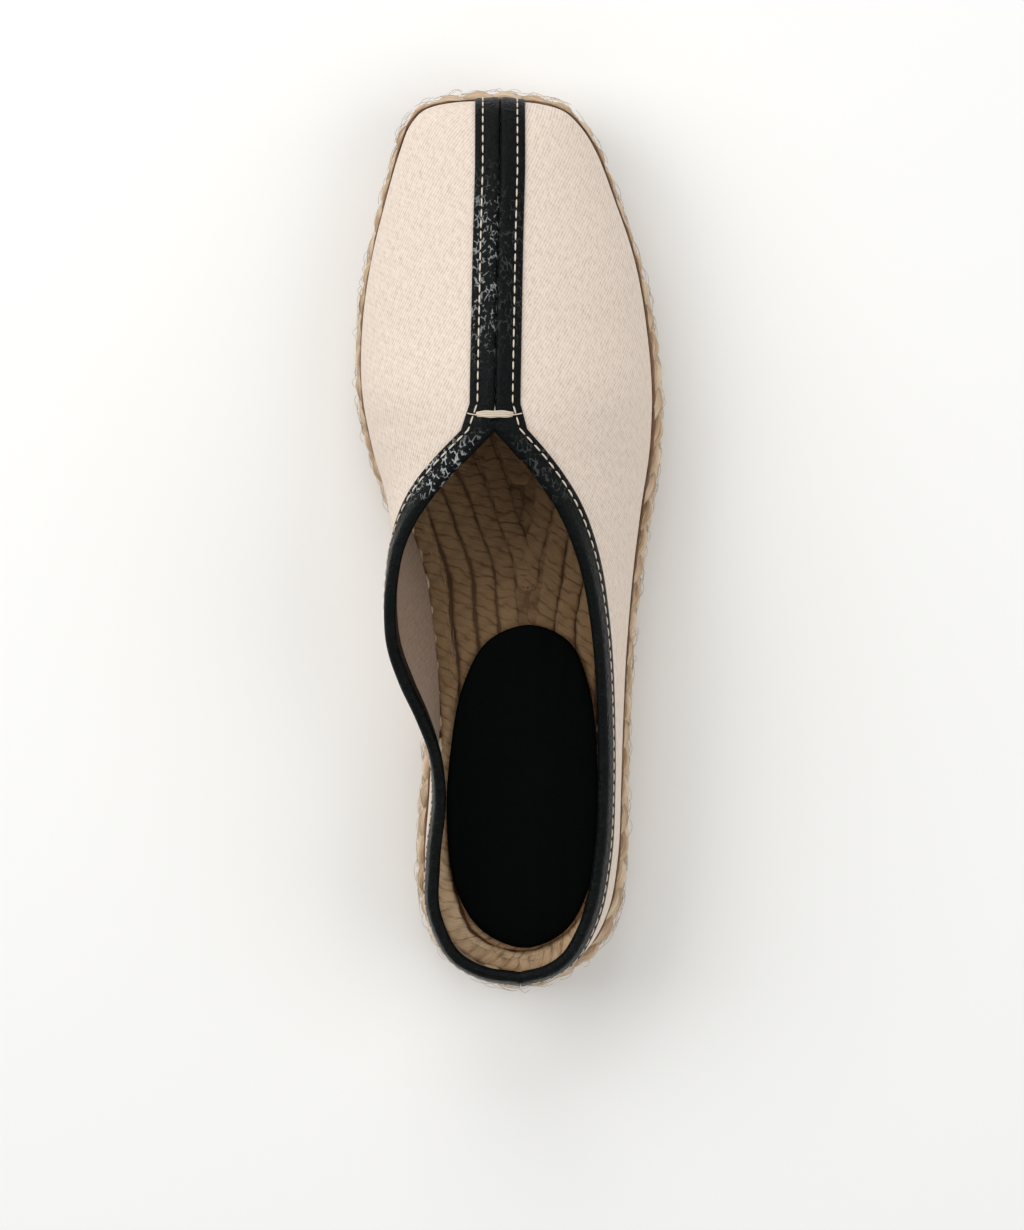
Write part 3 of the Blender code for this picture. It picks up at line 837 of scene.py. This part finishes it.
# Section of the binding, as (distance from the fold or centre line, height off the canvas):
# flat on the vamp, and folded over the collar's edge
BINDING_FLAT = [
    (BINDING_OUTER, 0.05),
    (BINDING_OUTER, LEATHER - 0.25),
    (BINDING_OUTER - 0.35, LEATHER),
    (5.6, LEATHER + 0.06),
    (STITCH_FROM_FOLD, LEATHER - 0.10),
    (4.2, LEATHER + 0.10),
    (3.0, LEATHER + 0.22),
    (1.9, LEATHER + 0.40),
    (1.1, LEATHER + 0.42),
    (0.50, LEATHER + 0.20),
    (0.16, LEATHER - 0.15),
    (0.02, 0.35),
    (0.02, 0.05),
]
BINDING_FLAT += [(distance, 0.05) for distance in (1.0, 2.0, 3.0, 3.6, 4.4, 5.6, 6.6)]


def binding_folded():
    """The folded section: outer leaf, bend and inner leaf about the middle of the wall."""
    middle = -WALL / 2
    skin = WALL / 2 + LEATHER_GAP + LEATHER
    top, low = middle + skin, middle - skin
    lip = 0.35
    outer = [
        (BINDING_OUTER, top - LEATHER),
        (BINDING_OUTER, top - 0.25),
        (BINDING_OUTER - lip, top),
        (5.6, top + 0.05),
        (STITCH_FROM_FOLD, top - 0.10),
        (4.2, top + 0.05),
        (2.4, top + 0.08),
        (0.8, top + 0.02),
    ]
    bend = [
        (-skin * 0.95 * math.sin(a), middle + skin * math.cos(a))
        for a in (math.radians(d) for d in (25, 55, 90, 125, 155))
    ]
    inner = [
        (0.8, low),
        (2.4, low - 0.03),
        (STITCH_FROM_FOLD, low + 0.05),
        (BINDING_INNER - lip, low),
        (BINDING_INNER, low + 0.25),
        (BINDING_INNER, low + LEATHER),
        (3.0, middle),
    ]
    return outer + bend + inner


BINDING_FOLDED = binding_folded()


def vamp_stations(tree):
    """Functions from (side, distance, height) to a point, from the toe's foot to the throat."""
    front = meridian("medial", 0.0, 40)[2:-1][::-1]
    front[:, 0] = RIDGE[0].x
    ridge = [crest_point("medial", t) for t in np.linspace(0.0, STRIP_END_T, 70)]
    line = np.vstack([front, ridge])
    along = np.gradient(line, axis=0)
    along[:, 0] = 0.0
    along /= np.linalg.norm(along, axis=1)[:, None]
    normals = np.stack([np.zeros(len(line)), along[:, 2], -along[:, 1]], axis=1)
    normals *= np.sign(normals[:, 2:3] + 0.2 * normals[:, 1:2])
    stations = []
    for centre, normal in zip(line, normals):

        def place(side, distance, height, centre=centre, normal=normal):
            turn = -1.0 if side == "medial" else 1.0
            start = centre + np.array([turn * distance, 0.0, 0.0])
            return rest_on(tree, start, normal) + height * normal

        stations.append(place)
    return stations


def collar_stations():
    """The same from the throat round to the heel, where distance is measured from the fold."""
    stations = []
    for t in COLLAR_TS:
        frames = {side: wall_frame(side, t) for side in ("medial", "lateral")}

        def place(side, distance, height, frames=frames):
            return frames[side](distance, height)

        stations.append(place)
    return stations


def binding_line(side, vamp, collar, flat_height, folded_height):
    """The line of the stitches along the whole binding."""
    flat = [place(side, STITCH_FROM_FOLD, flat_height) for place in vamp]
    end = STITCH_FROM_FOLD if side == "medial" else STITCH_ON_LATERAL_COLLAR
    near = np.interp(np.arange(len(collar)), [10, 60], [STITCH_FROM_FOLD, end])
    folded = [place(side, distance, folded_height) for place, distance in zip(collar, near)]
    return np.array(flat + folded)


def build_binding(side, vamp, collar, material):
    """One half's leather edge: over the vamp from toe to throat, then round to the heel."""
    columns = [[place(side, *spot) for spot in BINDING_FLAT] for place in vamp]
    columns += [[place(side, *spot) for spot in BINDING_FOLDED] for place in collar]
    rows = len(BINDING_FLAT)
    points = np.array(columns)
    y = points[..., 1]
    # Painted highlights beside the throat and on the middle of the vamp, faint on the lateral side
    painted_glint = np.exp(-(((y - 20.0) / 8.0) ** 4)) + 0.65 * np.exp(-(((y - 77.0) / 22.0) ** 4))
    if side == "lateral":
        painted_glint *= 0.12
    faces = grid_faces(len(columns), rows, wrap_rows=True)
    faces += end_faces(len(columns), rows)
    name, painted_glint = f"edge_binding_{side}", {"painted_glint": painted_glint.ravel()}
    return add_mesh(name, points.reshape(-1, 3), faces, [material], attributes=painted_glint)


def stitch_row(line, outward):
    """Short rounded stitches along a line, each lying on the leather."""
    run = run_lengths(line)
    parts = []
    for k in range(int(run[-1] // STITCH_PITCH)):
        middle = (k + 0.5) * STITCH_PITCH
        spans = np.linspace(-0.5, 0.5, 6)
        path = np.array([at_distance(run, line, middle + STITCH_LENGTH * s) for s in spans])
        lift = outward[min(np.searchsorted(run, middle), len(outward) - 1)]
        arch = (0.16 - 0.9 * (2 * np.abs(spans)) ** 4 * STITCH_RADIUS)[:, None]
        path += arch * lift
        round_end = np.sqrt(np.clip(1.0 - (np.abs(spans) * 1.9) ** 4, 0.12, 1.0))[:, None]
        wide, deep = STITCH_RADIUS * round_end, STITCH_RADIUS * 0.85
        parts.append(tube(path, lift, wide, deep, 6, False))
    return parts


def build_stitches(vamp, collar, material):
    """White thread along both bindings, set in from each strip's outer edge."""
    parts = []
    skin = LEATHER_GAP + LEATHER
    for side in ("medial", "lateral"):
        on = binding_line(side, vamp, collar, LEATHER, skin)
        off = binding_line(side, vamp, collar, LEATHER + 1, skin + 1)
        parts += stitch_row(on, off - on)
    return add_mesh("edge_stitches", *join_parts(parts), [material])


def build_throat_thread(material):
    """Bar tack: a bundle of thread across the two bindings where they part."""
    rng = random.Random(5)
    throat = crest_point("medial", THROAT_T)
    base = throat + np.array([0.0, 1.9, LEATHER + 0.55])
    parts = []
    for k in range(TACK_THREADS):
        ahead = (k - (TACK_THREADS - 1) / 2) * TACK_STEP
        stacked = 0.28 if k % 2 else 0.0
        half = TACK_HALF + rng.uniform(-0.35, 0.35)
        spans = np.linspace(-1.0, 1.0, 15)
        fall = np.abs(spans) ** 3
        wavy = 0.08 * np.sin(7 * spans + k)
        y = base[1] + ahead * (1.0 - 0.35 * fall) + wavy
        z = base[2] + stacked - 0.25 - 1.5 * fall
        path = np.column_stack([base[0] + spans * half, y, z])
        parts.append(tube(path, UP, TACK_RADIUS, TACK_RADIUS, 7, False))
    for turn in (-1.0, 1.0):
        spans = np.linspace(0.0, 1.0, 9)
        x = base[0] + turn * (4.2 + TACK_END * spans)
        y = base[1] - 0.2 + 0.5 * spans**2
        path = np.column_stack([x, y, base[2] - 1.15 - 0.75 * spans])
        parts.append(tube(path, UP, TACK_END_RADIUS, TACK_END_RADIUS, 6, False))
    return add_mesh("throat_thread", *join_parts(parts), [material])


# Jute sole


def loop_frame(loop):
    """Distances along a closed loop, its whole length, and its outward directions."""
    run = run_lengths(np.vstack([loop, loop[:1]]))
    along = np.roll(loop, -1, axis=0) - np.roll(loop, 1, axis=0)
    along /= np.linalg.norm(along, axis=1)[:, None]
    return run[:-1], run[-1], np.stack([-along[:, 1], along[:, 0]], axis=1)


def inset_loops(inset):
    """Closed loops that run at one distance inside the sole's edge."""
    closed = np.vstack([EDGE.loop, EDGE.loop[:1]])
    run = run_lengths(closed)
    dense = np.array([at_distance(run, closed, s) for s in np.arange(0.0, run[-1], 1.0)])
    moved = dense - inset * loop_frame(dense)[2]
    distance = np.sqrt(((moved[:, None, :] - dense[None, :, :]) ** 2).sum(axis=2)).min(axis=1)
    kept = moved[distance > inset - 0.25]
    breaks = [i for i in range(len(kept)) if np.linalg.norm(kept[i] - kept[i - 1]) > PINCH]
    loops = [kept]
    if len(breaks) > 1:
        # Pinched at the waist: its stretches are joined by the end of the sole they belong to
        kept = np.roll(kept, -breaks[0], axis=0)
        cuts = [b - breaks[0] for b in breaks] + [len(kept)]
        pieces = [kept[a:b] for a, b in zip(cuts, cuts[1:])]
        fore = [p for p in pieces if p[:, 1].mean() > WAIST_Y]
        rear = [p for p in pieces if p[:, 1].mean() <= WAIST_Y]
        loops = [np.vstack(group) for group in (fore, rear) if group]
    return [even_loop(line) for line in loops if len(line) > 30]


def even_loop(line, step=1.25, soften=6):
    """The loop with evenly spaced points and its sharp turns rounded."""
    closed = np.vstack([line, line[:1]])
    run = run_lengths(closed)
    count = int(run[-1] / step)
    even = np.array([at_distance(run, closed, s) for s in np.linspace(0, run[-1], count + 1)[:-1]])
    for _ in range(soften):
        even = 0.5 * even + 0.25 * (np.roll(even, 1, axis=0) + np.roll(even, -1, axis=0))
    return even


def plait(loop, rng):
    """Three strands plaited on edge along a closed loop. Gives points, faces, uvs, and the painted
    shade of its hollows.
    """
    s, total, out = loop_frame(loop)
    periods = max(round(total / (3 * STRAND_STEP)), 1)
    turns = np.linspace(0.0, math.tau, STRAND_SIDES, endpoint=False)
    across = np.column_stack([out, np.zeros(len(out))])
    parts, uvs, crevices = [], [], []
    for strand in range(3):
        phase = math.tau * (s * periods / total + strand / 3.0)
        wobble = 0.25 * np.sin(math.tau * s * round(total / 37.0) / total + strand)
        weave = STRAND_WEAVE * np.sin(2 * phase) + 0.12 * rng.uniform(-1, 1)
        height = np.tanh(STRAND_DWELL * np.sin(phase)) / math.tanh(STRAND_DWELL)
        plan = loop + out * weave[:, None]
        z = BRAID_MIDDLE + (STRAND_REACH * height + wobble) + spring(plan[:, 1])
        path = np.column_stack([plan, z])
        twist = math.tau * s * round(total / 9.0) / total
        lobes = 1.0 + 0.07 * np.sin(4 * turns[None, :] + twist[:, None])
        wide = STRAND_WIDE * lobes
        points, faces = tube(path, across, wide, STRAND_DEEP, STRAND_SIDES, True)
        parts.append((points, faces))
        u = np.tile(turns / (math.tau), (len(s), 1))
        v = np.tile(s[:, None] * MM, (1, STRAND_SIDES)) + strand * 0.37
        uvs.append(np.stack([u, v], axis=2).reshape(-1, 2))
        local = points.reshape(len(s), STRAND_SIDES, 3)
        # Painted shade: darkest near the braid's middle line, none on its outer faces
        lift = (local[..., 2] - BRAID_MIDDLE - spring(plan[:, 1])[:, None]) / 8.3
        proud = ((local[..., :2] - loop[:, None, :]) * out[:, None, :]).sum(axis=2) / 3.2
        crevices.append((1.0 - np.clip(np.maximum(np.abs(lift), np.abs(proud)), 0, 1)).ravel())
    points, faces = join_parts(parts)
    return points, faces, np.vstack(uvs), np.concatenate(crevices)


def build_rim_braid(material):
    """The braid round the outside, whose turns show at the sole's side."""
    loop = inset_loops(ROW_PITCH / 2)[0]
    points, faces, uvs, crevice_shade = plait(loop, np.random.default_rng(1))
    return add_mesh("rim_braid", points, faces, [material], uvs, attributes={"crevice_shade": crevice_shade})


def footbed_row(loop, sink, rng):
    """One row of the footbed: a flat braid edge, scalloped where its strands turn under."""
    s, total, out = loop_frame(loop)
    strands = max(round(total / STRAND_STEP), 3)
    shift = rng.uniform(0, math.tau)
    # Neighbouring rows wander together, so that no gap opens between them
    x, y = loop[:, 0], loop[:, 1]
    drift = 0.5 * np.sin(y / 8.0 + x / 15.0) + 0.3 * np.sin(y / 3.7 - x / 12.0)
    drift += 0.3 * np.sin(x / 5.0)
    left = [(-share, top) for share, top in reversed(FOOTBED_CROWN)]
    sections, crevice_shade, uvs = [], [], []
    for share, top in left + FOOTBED_CROWN:
        turn = math.tau * s * strands / total + shift + 1.9 * share
        turn += 0.5 * np.sin(math.tau * s * round(total / 41.0) / total + shift)
        crease = (0.5 + 0.5 * np.cos(turn)) ** 5
        scallop = 0.3 * np.cos(turn + 0.4)
        across = share * (FOOTBED_HALF + scallop * abs(share) ** 2) + drift
        plan = loop + out * across[:, None]
        z = FOOTBED_TOP - sink + top - 0.45 * crease + 0.12 * drift + spring(plan[:, 1])
        sections.append(np.column_stack([plan, z]))
        # Painted shade: darker towards the row's edges, in the creases where strands turn under,
        # and on the sunk rows
        edge = min(max((abs(share) - 0.75) / 0.2, 0.0), 1.0)
        crevice_shade.append(np.clip(edge + 0.35 * crease + 0.4 * (sink > 0), 0.0, 1.0))
        uvs.append(np.column_stack([across * MM, s * MM]))
    for share in (1.0, -1.0):
        plan = loop + out * (share * FOOTBED_HALF)
        sections.append(np.column_stack([plan, FOOTBED_FLOOR + spring(plan[:, 1])]))
        # Painted shade: the row's sides down to the floor are fully dark
        crevice_shade.append(np.ones(len(s)))
        uvs.append(np.column_stack([np.full(len(s), share * FOOTBED_HALF * MM), s * MM]))
    rows = len(sections)
    points = np.stack(sections, axis=1).reshape(-1, 3)
    faces = grid_faces(len(s), rows, wrap_columns=True, wrap_rows=True)
    uvs = np.stack(uvs, axis=1).reshape(-1, 2)
    return (points, faces), uvs, np.stack(crevice_shade, axis=1).ravel()


def build_footbed(material):
    """Rows at one pitch, and lower ones that fill the wedges where the inner rows turn back."""
    rng = random.Random(2)
    rows = [(FOOTBED_FIRST + k * ROW_PITCH, 0.0) for k in range(FOOTBED_ROWS)]
    rows += [(inset, FILLER_SINK) for inset in FILLER_INSETS]
    made = [footbed_row(loop, sink, rng) for inset, sink in rows for loop in inset_loops(inset)]
    parts, uvs, crevices = zip(*made)
    points, faces = join_parts(parts)
    attributes = {
        # Painted shade in the hollows between strands and rows
        "crevice_shade": np.concatenate(crevices),
        # Painted shade: the footbed darkens from the heel towards the front, where the vamp shades
        # it
        "shaded_front": np.clip((points[:, 1] + 100.0) / 60.0, 0.0, 1.0),
    }
    uvs = np.vstack(uvs)
    return add_mesh("footbed_braid", points, faces, [material], uvs, attributes=attributes)


def build_core(material):
    """Bed of packed jute that shows only between the strands, coloured dark as painted shade."""
    loop = inset_loops(BED_INSET)[0][::2]
    count = len(loop)
    heights = (OUTSOLE_THICK + 0.4, BED_TOP)
    points = np.vstack([np.column_stack([loop, z + spring(loop[:, 1])]) for z in heights])
    faces = grid_faces(2, count, wrap_rows=True)
    faces += [tuple(range(count)), tuple(count + k for k in range(count))]
    return add_mesh("shaded_jute_bed", points, faces, [material])


def build_foot_seam(material):
    """Dark strip of painted shadow in the groove between the canvas foot and the rim, uneven along
    its way.
    """
    ts = np.linspace(0.0, 1.0, 420)
    way = [("lateral", t) for t in ts] + [("medial", t) for t in ts[-2:0:-1]]
    out = np.array([np.append(EDGE.outward(*at), 0.0) for at in way])
    loop = np.array([foot_point(*at) for at in way]) + SEAM_OUT * out - SEAM_DROP * UP
    s = np.arange(len(loop))
    uneven = 0.5 * np.sin(s * 0.9) + 0.8 * np.sin(s * 0.37 + 1.0) + 0.6 * np.sin(s * 0.151)
    loop[:, 2] += 0.18 * uneven
    # Widest at the ball of the foot
    wide = 0.42 + 0.14 * uneven + 0.4 * np.exp(-(((loop[:, 1] - 38.0) / 34.0) ** 2))
    sides = 7
    points, faces = tube(loop, UP, wide[:, None], SEAM_DEEP, sides, True)
    turns = np.tile(np.linspace(0.0, 1.0, sides, endpoint=False), len(loop))
    uvs = np.column_stack([turns, np.repeat(s * 1.4 * MM, sides)])
    return add_mesh("foot_shadow_strip", points, faces, [material], uvs)


def build_throat_fold(material):
    """Leather turned over the canvas in the corner of the V."""
    ts = np.linspace(0.43, THROAT_T, 9)
    path = [crest_point("medial", t) for t in ts]
    path += [crest_point("lateral", t) for t in ts[::-1][1:]]
    path = np.array(path) - np.array([0.0, 0.4, 0.55])
    return add_mesh("throat_fold", *tube(path, UP, FOLD_WIDE, FOLD_DEEP, 12, False), [material])


def build_fibres(material):
    """Loose fibres that stand off the braid's edge and the footbed."""
    rng = random.Random(11)
    loops = [(inset_loops(2.0)[0], 0.75), (inset_loops(9.0)[0], 0.25)]
    parts = []
    for loop, share in loops:
        for _ in range(int(FIBRES * share)):
            i = rng.randrange(len(loop))
            here = loop[i]
            ahead = loop[(i + 1) % len(loop)] - here
            ahead /= np.linalg.norm(ahead)
            out = np.array([-ahead[1], ahead[0]])
            height = rng.uniform(5.0, 20.3) if share > 0.5 else FOOTBED_TOP
            start = np.append(here + out * (1.6 if height < 18 else rng.uniform(-1, 1.0)), 0.0)
            start[2] = height + spring(here[1])
            swing = rng.choice((-1, 1))
            bow, length = rng.uniform(0.4, 1.8), rng.uniform(2.5, 7.5)
            u = np.linspace(0.0, 1.0, 6)[:, None]
            drift = np.append(ahead * swing, rng.uniform(-0.35, 0.25))
            away = np.append(out * rng.uniform(0.2, 1.0), rng.uniform(0.1, 0.9))
            path = start + drift * length * u + away * bow * np.sin(2.6 * u)
            parts.append(tube(path, UP, FIBRE_RADIUS, FIBRE_RADIUS, 3, False))
    return add_mesh("loose_fibres", *join_parts(parts), [material])


def build_sock(material):
    """Leather sock: a thin pad with soft edges, dished a little by the heel."""
    outline = catmull_rom(SOCK, 10)
    centre = outline.mean(axis=0)
    # (share of the way from the centre, height)
    flat = (0.0, 0.15, 0.3, 0.45, 0.6, 0.72, 0.82, 0.90, 0.95)
    levels = [(share, PAD_THICK) for share in flat]
    levels += [(0.975, PAD_THICK - 0.08), (0.99, PAD_THICK - 0.3), (1.0, PAD_THICK - 0.7)]
    levels += [(1.0, 0.1), (0.97, 0.02)]
    count = len(outline)
    rings = []
    for share, height in levels:
        ring = centre + share * (outline - centre)
        dish = 0.25 * np.cos(ring[:, 0] / 9.0) * np.cos((ring[:, 1] + 70) / 26.0)
        ripple = 0.10 * np.sin(ring[:, 0] * math.tau / ROW_PITCH)
        z = SOLE_TOP + 0.3 + height - (dish * (share < 0.97) - ripple * (share < 0.98)) * 0.6
        rings.append(np.column_stack([ring, z]))
    # The first ring has shrunk to one point
    points = np.vstack([rings[0][:1], *rings[1:]])
    between = grid_faces(len(levels) - 1, count, wrap_rows=True)
    faces = [tuple(1 + k for k in face) for face in between]
    faces += [(0, 1 + i, 1 + (i + 1) % count) for i in range(count)]
    faces.append(tuple(range(len(points) - count, len(points))))
    return add_mesh("heel_pad", points, faces, [material])


# Stage


def build_stage():
    scene = bpy.context.scene
    half = 6.0
    points = [(-half, -half, 0.0), (half, -half, 0.0), (half, half, 0.0), (-half, half, 0.0)]
    paper = Shader("floor_paper", 0.95, Specular_IOR_Level=0.1).finish((0.95, 0.95, 0.935))
    floor = add_mesh("floor", np.array(points) / MM, [(0, 1, 2, 3)], [paper])

    camera = bpy.data.cameras.new("camera")
    camera.lens = CAMERA_LENS
    camera.sensor_width = 36.0
    camera.shift_x, camera.shift_y = CAMERA_SHIFT
    scene.camera = new_object("camera", camera)
    scene.camera.location = Vector(CAMERA_PLACE) * MM

    world = bpy.data.worlds.new("studio")
    world.use_nodes = True
    background = world.node_tree.nodes["Background"]
    background.inputs["Color"].default_value = (1.0, 0.998, 0.99, 1.0)
    background.inputs["Strength"].default_value = 0.35
    scene.world = world
    scene.view_settings.view_transform = "Standard"
    # (name, place in metres, size in metres, watts)
    add_light("key", (-0.85, 0.30, 0.85), 0.9, 7.0)
    add_light("fill", (0.9, -0.1, 0.9), 1.1, 5.4)
    add_light("front", (-0.2, 1.05, 0.85), 0.9, 6.2)
    add_light("rear", (-0.2, -1.1, 0.9), 0.9, 1.0)


def add_light(name, place, size, watts):
    light = bpy.data.lights.new(name, "AREA")
    light.size = size
    light.energy = watts
    holder = new_object(name, light)
    holder.location = place
    holder.rotation_euler = (-Vector(place)).to_track_quat("-Z", "Y").to_euler()


def give(piece, slot, *nodes):
    """Ride on the one body and stand for CAD nodes. The slot is not used."""
    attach(piece, "root")
    for node in nodes:
        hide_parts(node)


def main():
    canvas = canvas_material("canvas", (0.86, 0.76, 0.67), (0.74, 0.62, 0.52), (0.5, 0.38, 0.3))
    # Painted shade: the inner face is the same twill canvas, coloured darker
    shaded_lining = canvas_material(
        "shaded_lining", (0.45, 0.32, 0.235), (0.35, 0.245, 0.175), (0.21, 0.135, 0.09)
    )
    leather = leather_material(
        "binding_leather",
        base=(0.0022, 0.0032, 0.0034),
        worn=(0.006, 0.008, 0.008),
        roughness=0.30,
        grain=1500.0,
        crinkle=330.0,
        depth=0.30,
        shine=0.09,
    )
    sock = leather_material(
        "sock_leather",
        base=(0.0008, 0.0016, 0.0016),
        worn=(0.0015, 0.002, 0.002),
        roughness=0.6,
        grain=1700.0,
        crinkle=90.0,
        depth=0.1,
        shine=0.05,
    )
    jute = jute_material("jute", (0.84, 0.70, 0.53), (0.70, 0.53, 0.36), (0.34, 0.21, 0.11))
    footbed = footbed_material(
        "jute_footbed", (0.86, 0.65, 0.41), (0.72, 0.51, 0.31), (0.42, 0.26, 0.13)
    )
    # Painted shade: dark jute for the bed that shows between the strands
    bed = jute_material("shaded_jute_bed", (0.30, 0.19, 0.10), (0.22, 0.13, 0.06), (0.10, 0.05, 0.025))
    # Painted shadow: dark jute colours for the strip in the groove at the canvas foot
    seam = jute_material("seam_shadow_jute", (0.42, 0.25, 0.14), (0.27, 0.14, 0.07), (0.12, 0.06, 0.03))
    thread = thread_material("edge_thread", (0.85, 0.78, 0.66), (0.70, 0.60, 0.48))

    upper = build_upper(canvas, shaded_lining)
    give(upper, "canvas", "upper")
    tree = BVHTree.FromPolygons(
        [v.co for v in upper.data.vertices], [p.vertices[:] for p in upper.data.polygons]
    )
    vamp, collar = vamp_stations(tree), collar_stations()
    for side in ("medial", "lateral"):
        binding = build_binding(side, vamp, collar, leather)
        give(binding, "binding", f"vamp_binding_{side}", "collar_binding")
    give(build_stitches(vamp, collar, thread), "thread")
    give(build_throat_thread(thread), "thread", "throat_tack")
    give(build_core(bed), "jute", "jute_midsole")
    give(build_rim_braid(jute), "jute", "jute_midsole")
    give(build_footbed(footbed), "jute", "jute_midsole")
    give(build_foot_seam(seam), "jute")
    give(build_throat_fold(leather), "binding", "collar_binding")
    give(build_fibres(jute), "jute")
    give(build_sock(sock), "sock", "heel_sock")
    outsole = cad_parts["outsole"]
    outsole.data.materials.clear()
    outsole.data.materials.append(rubber_material("gum_rubber"))
    build_stage()


main()
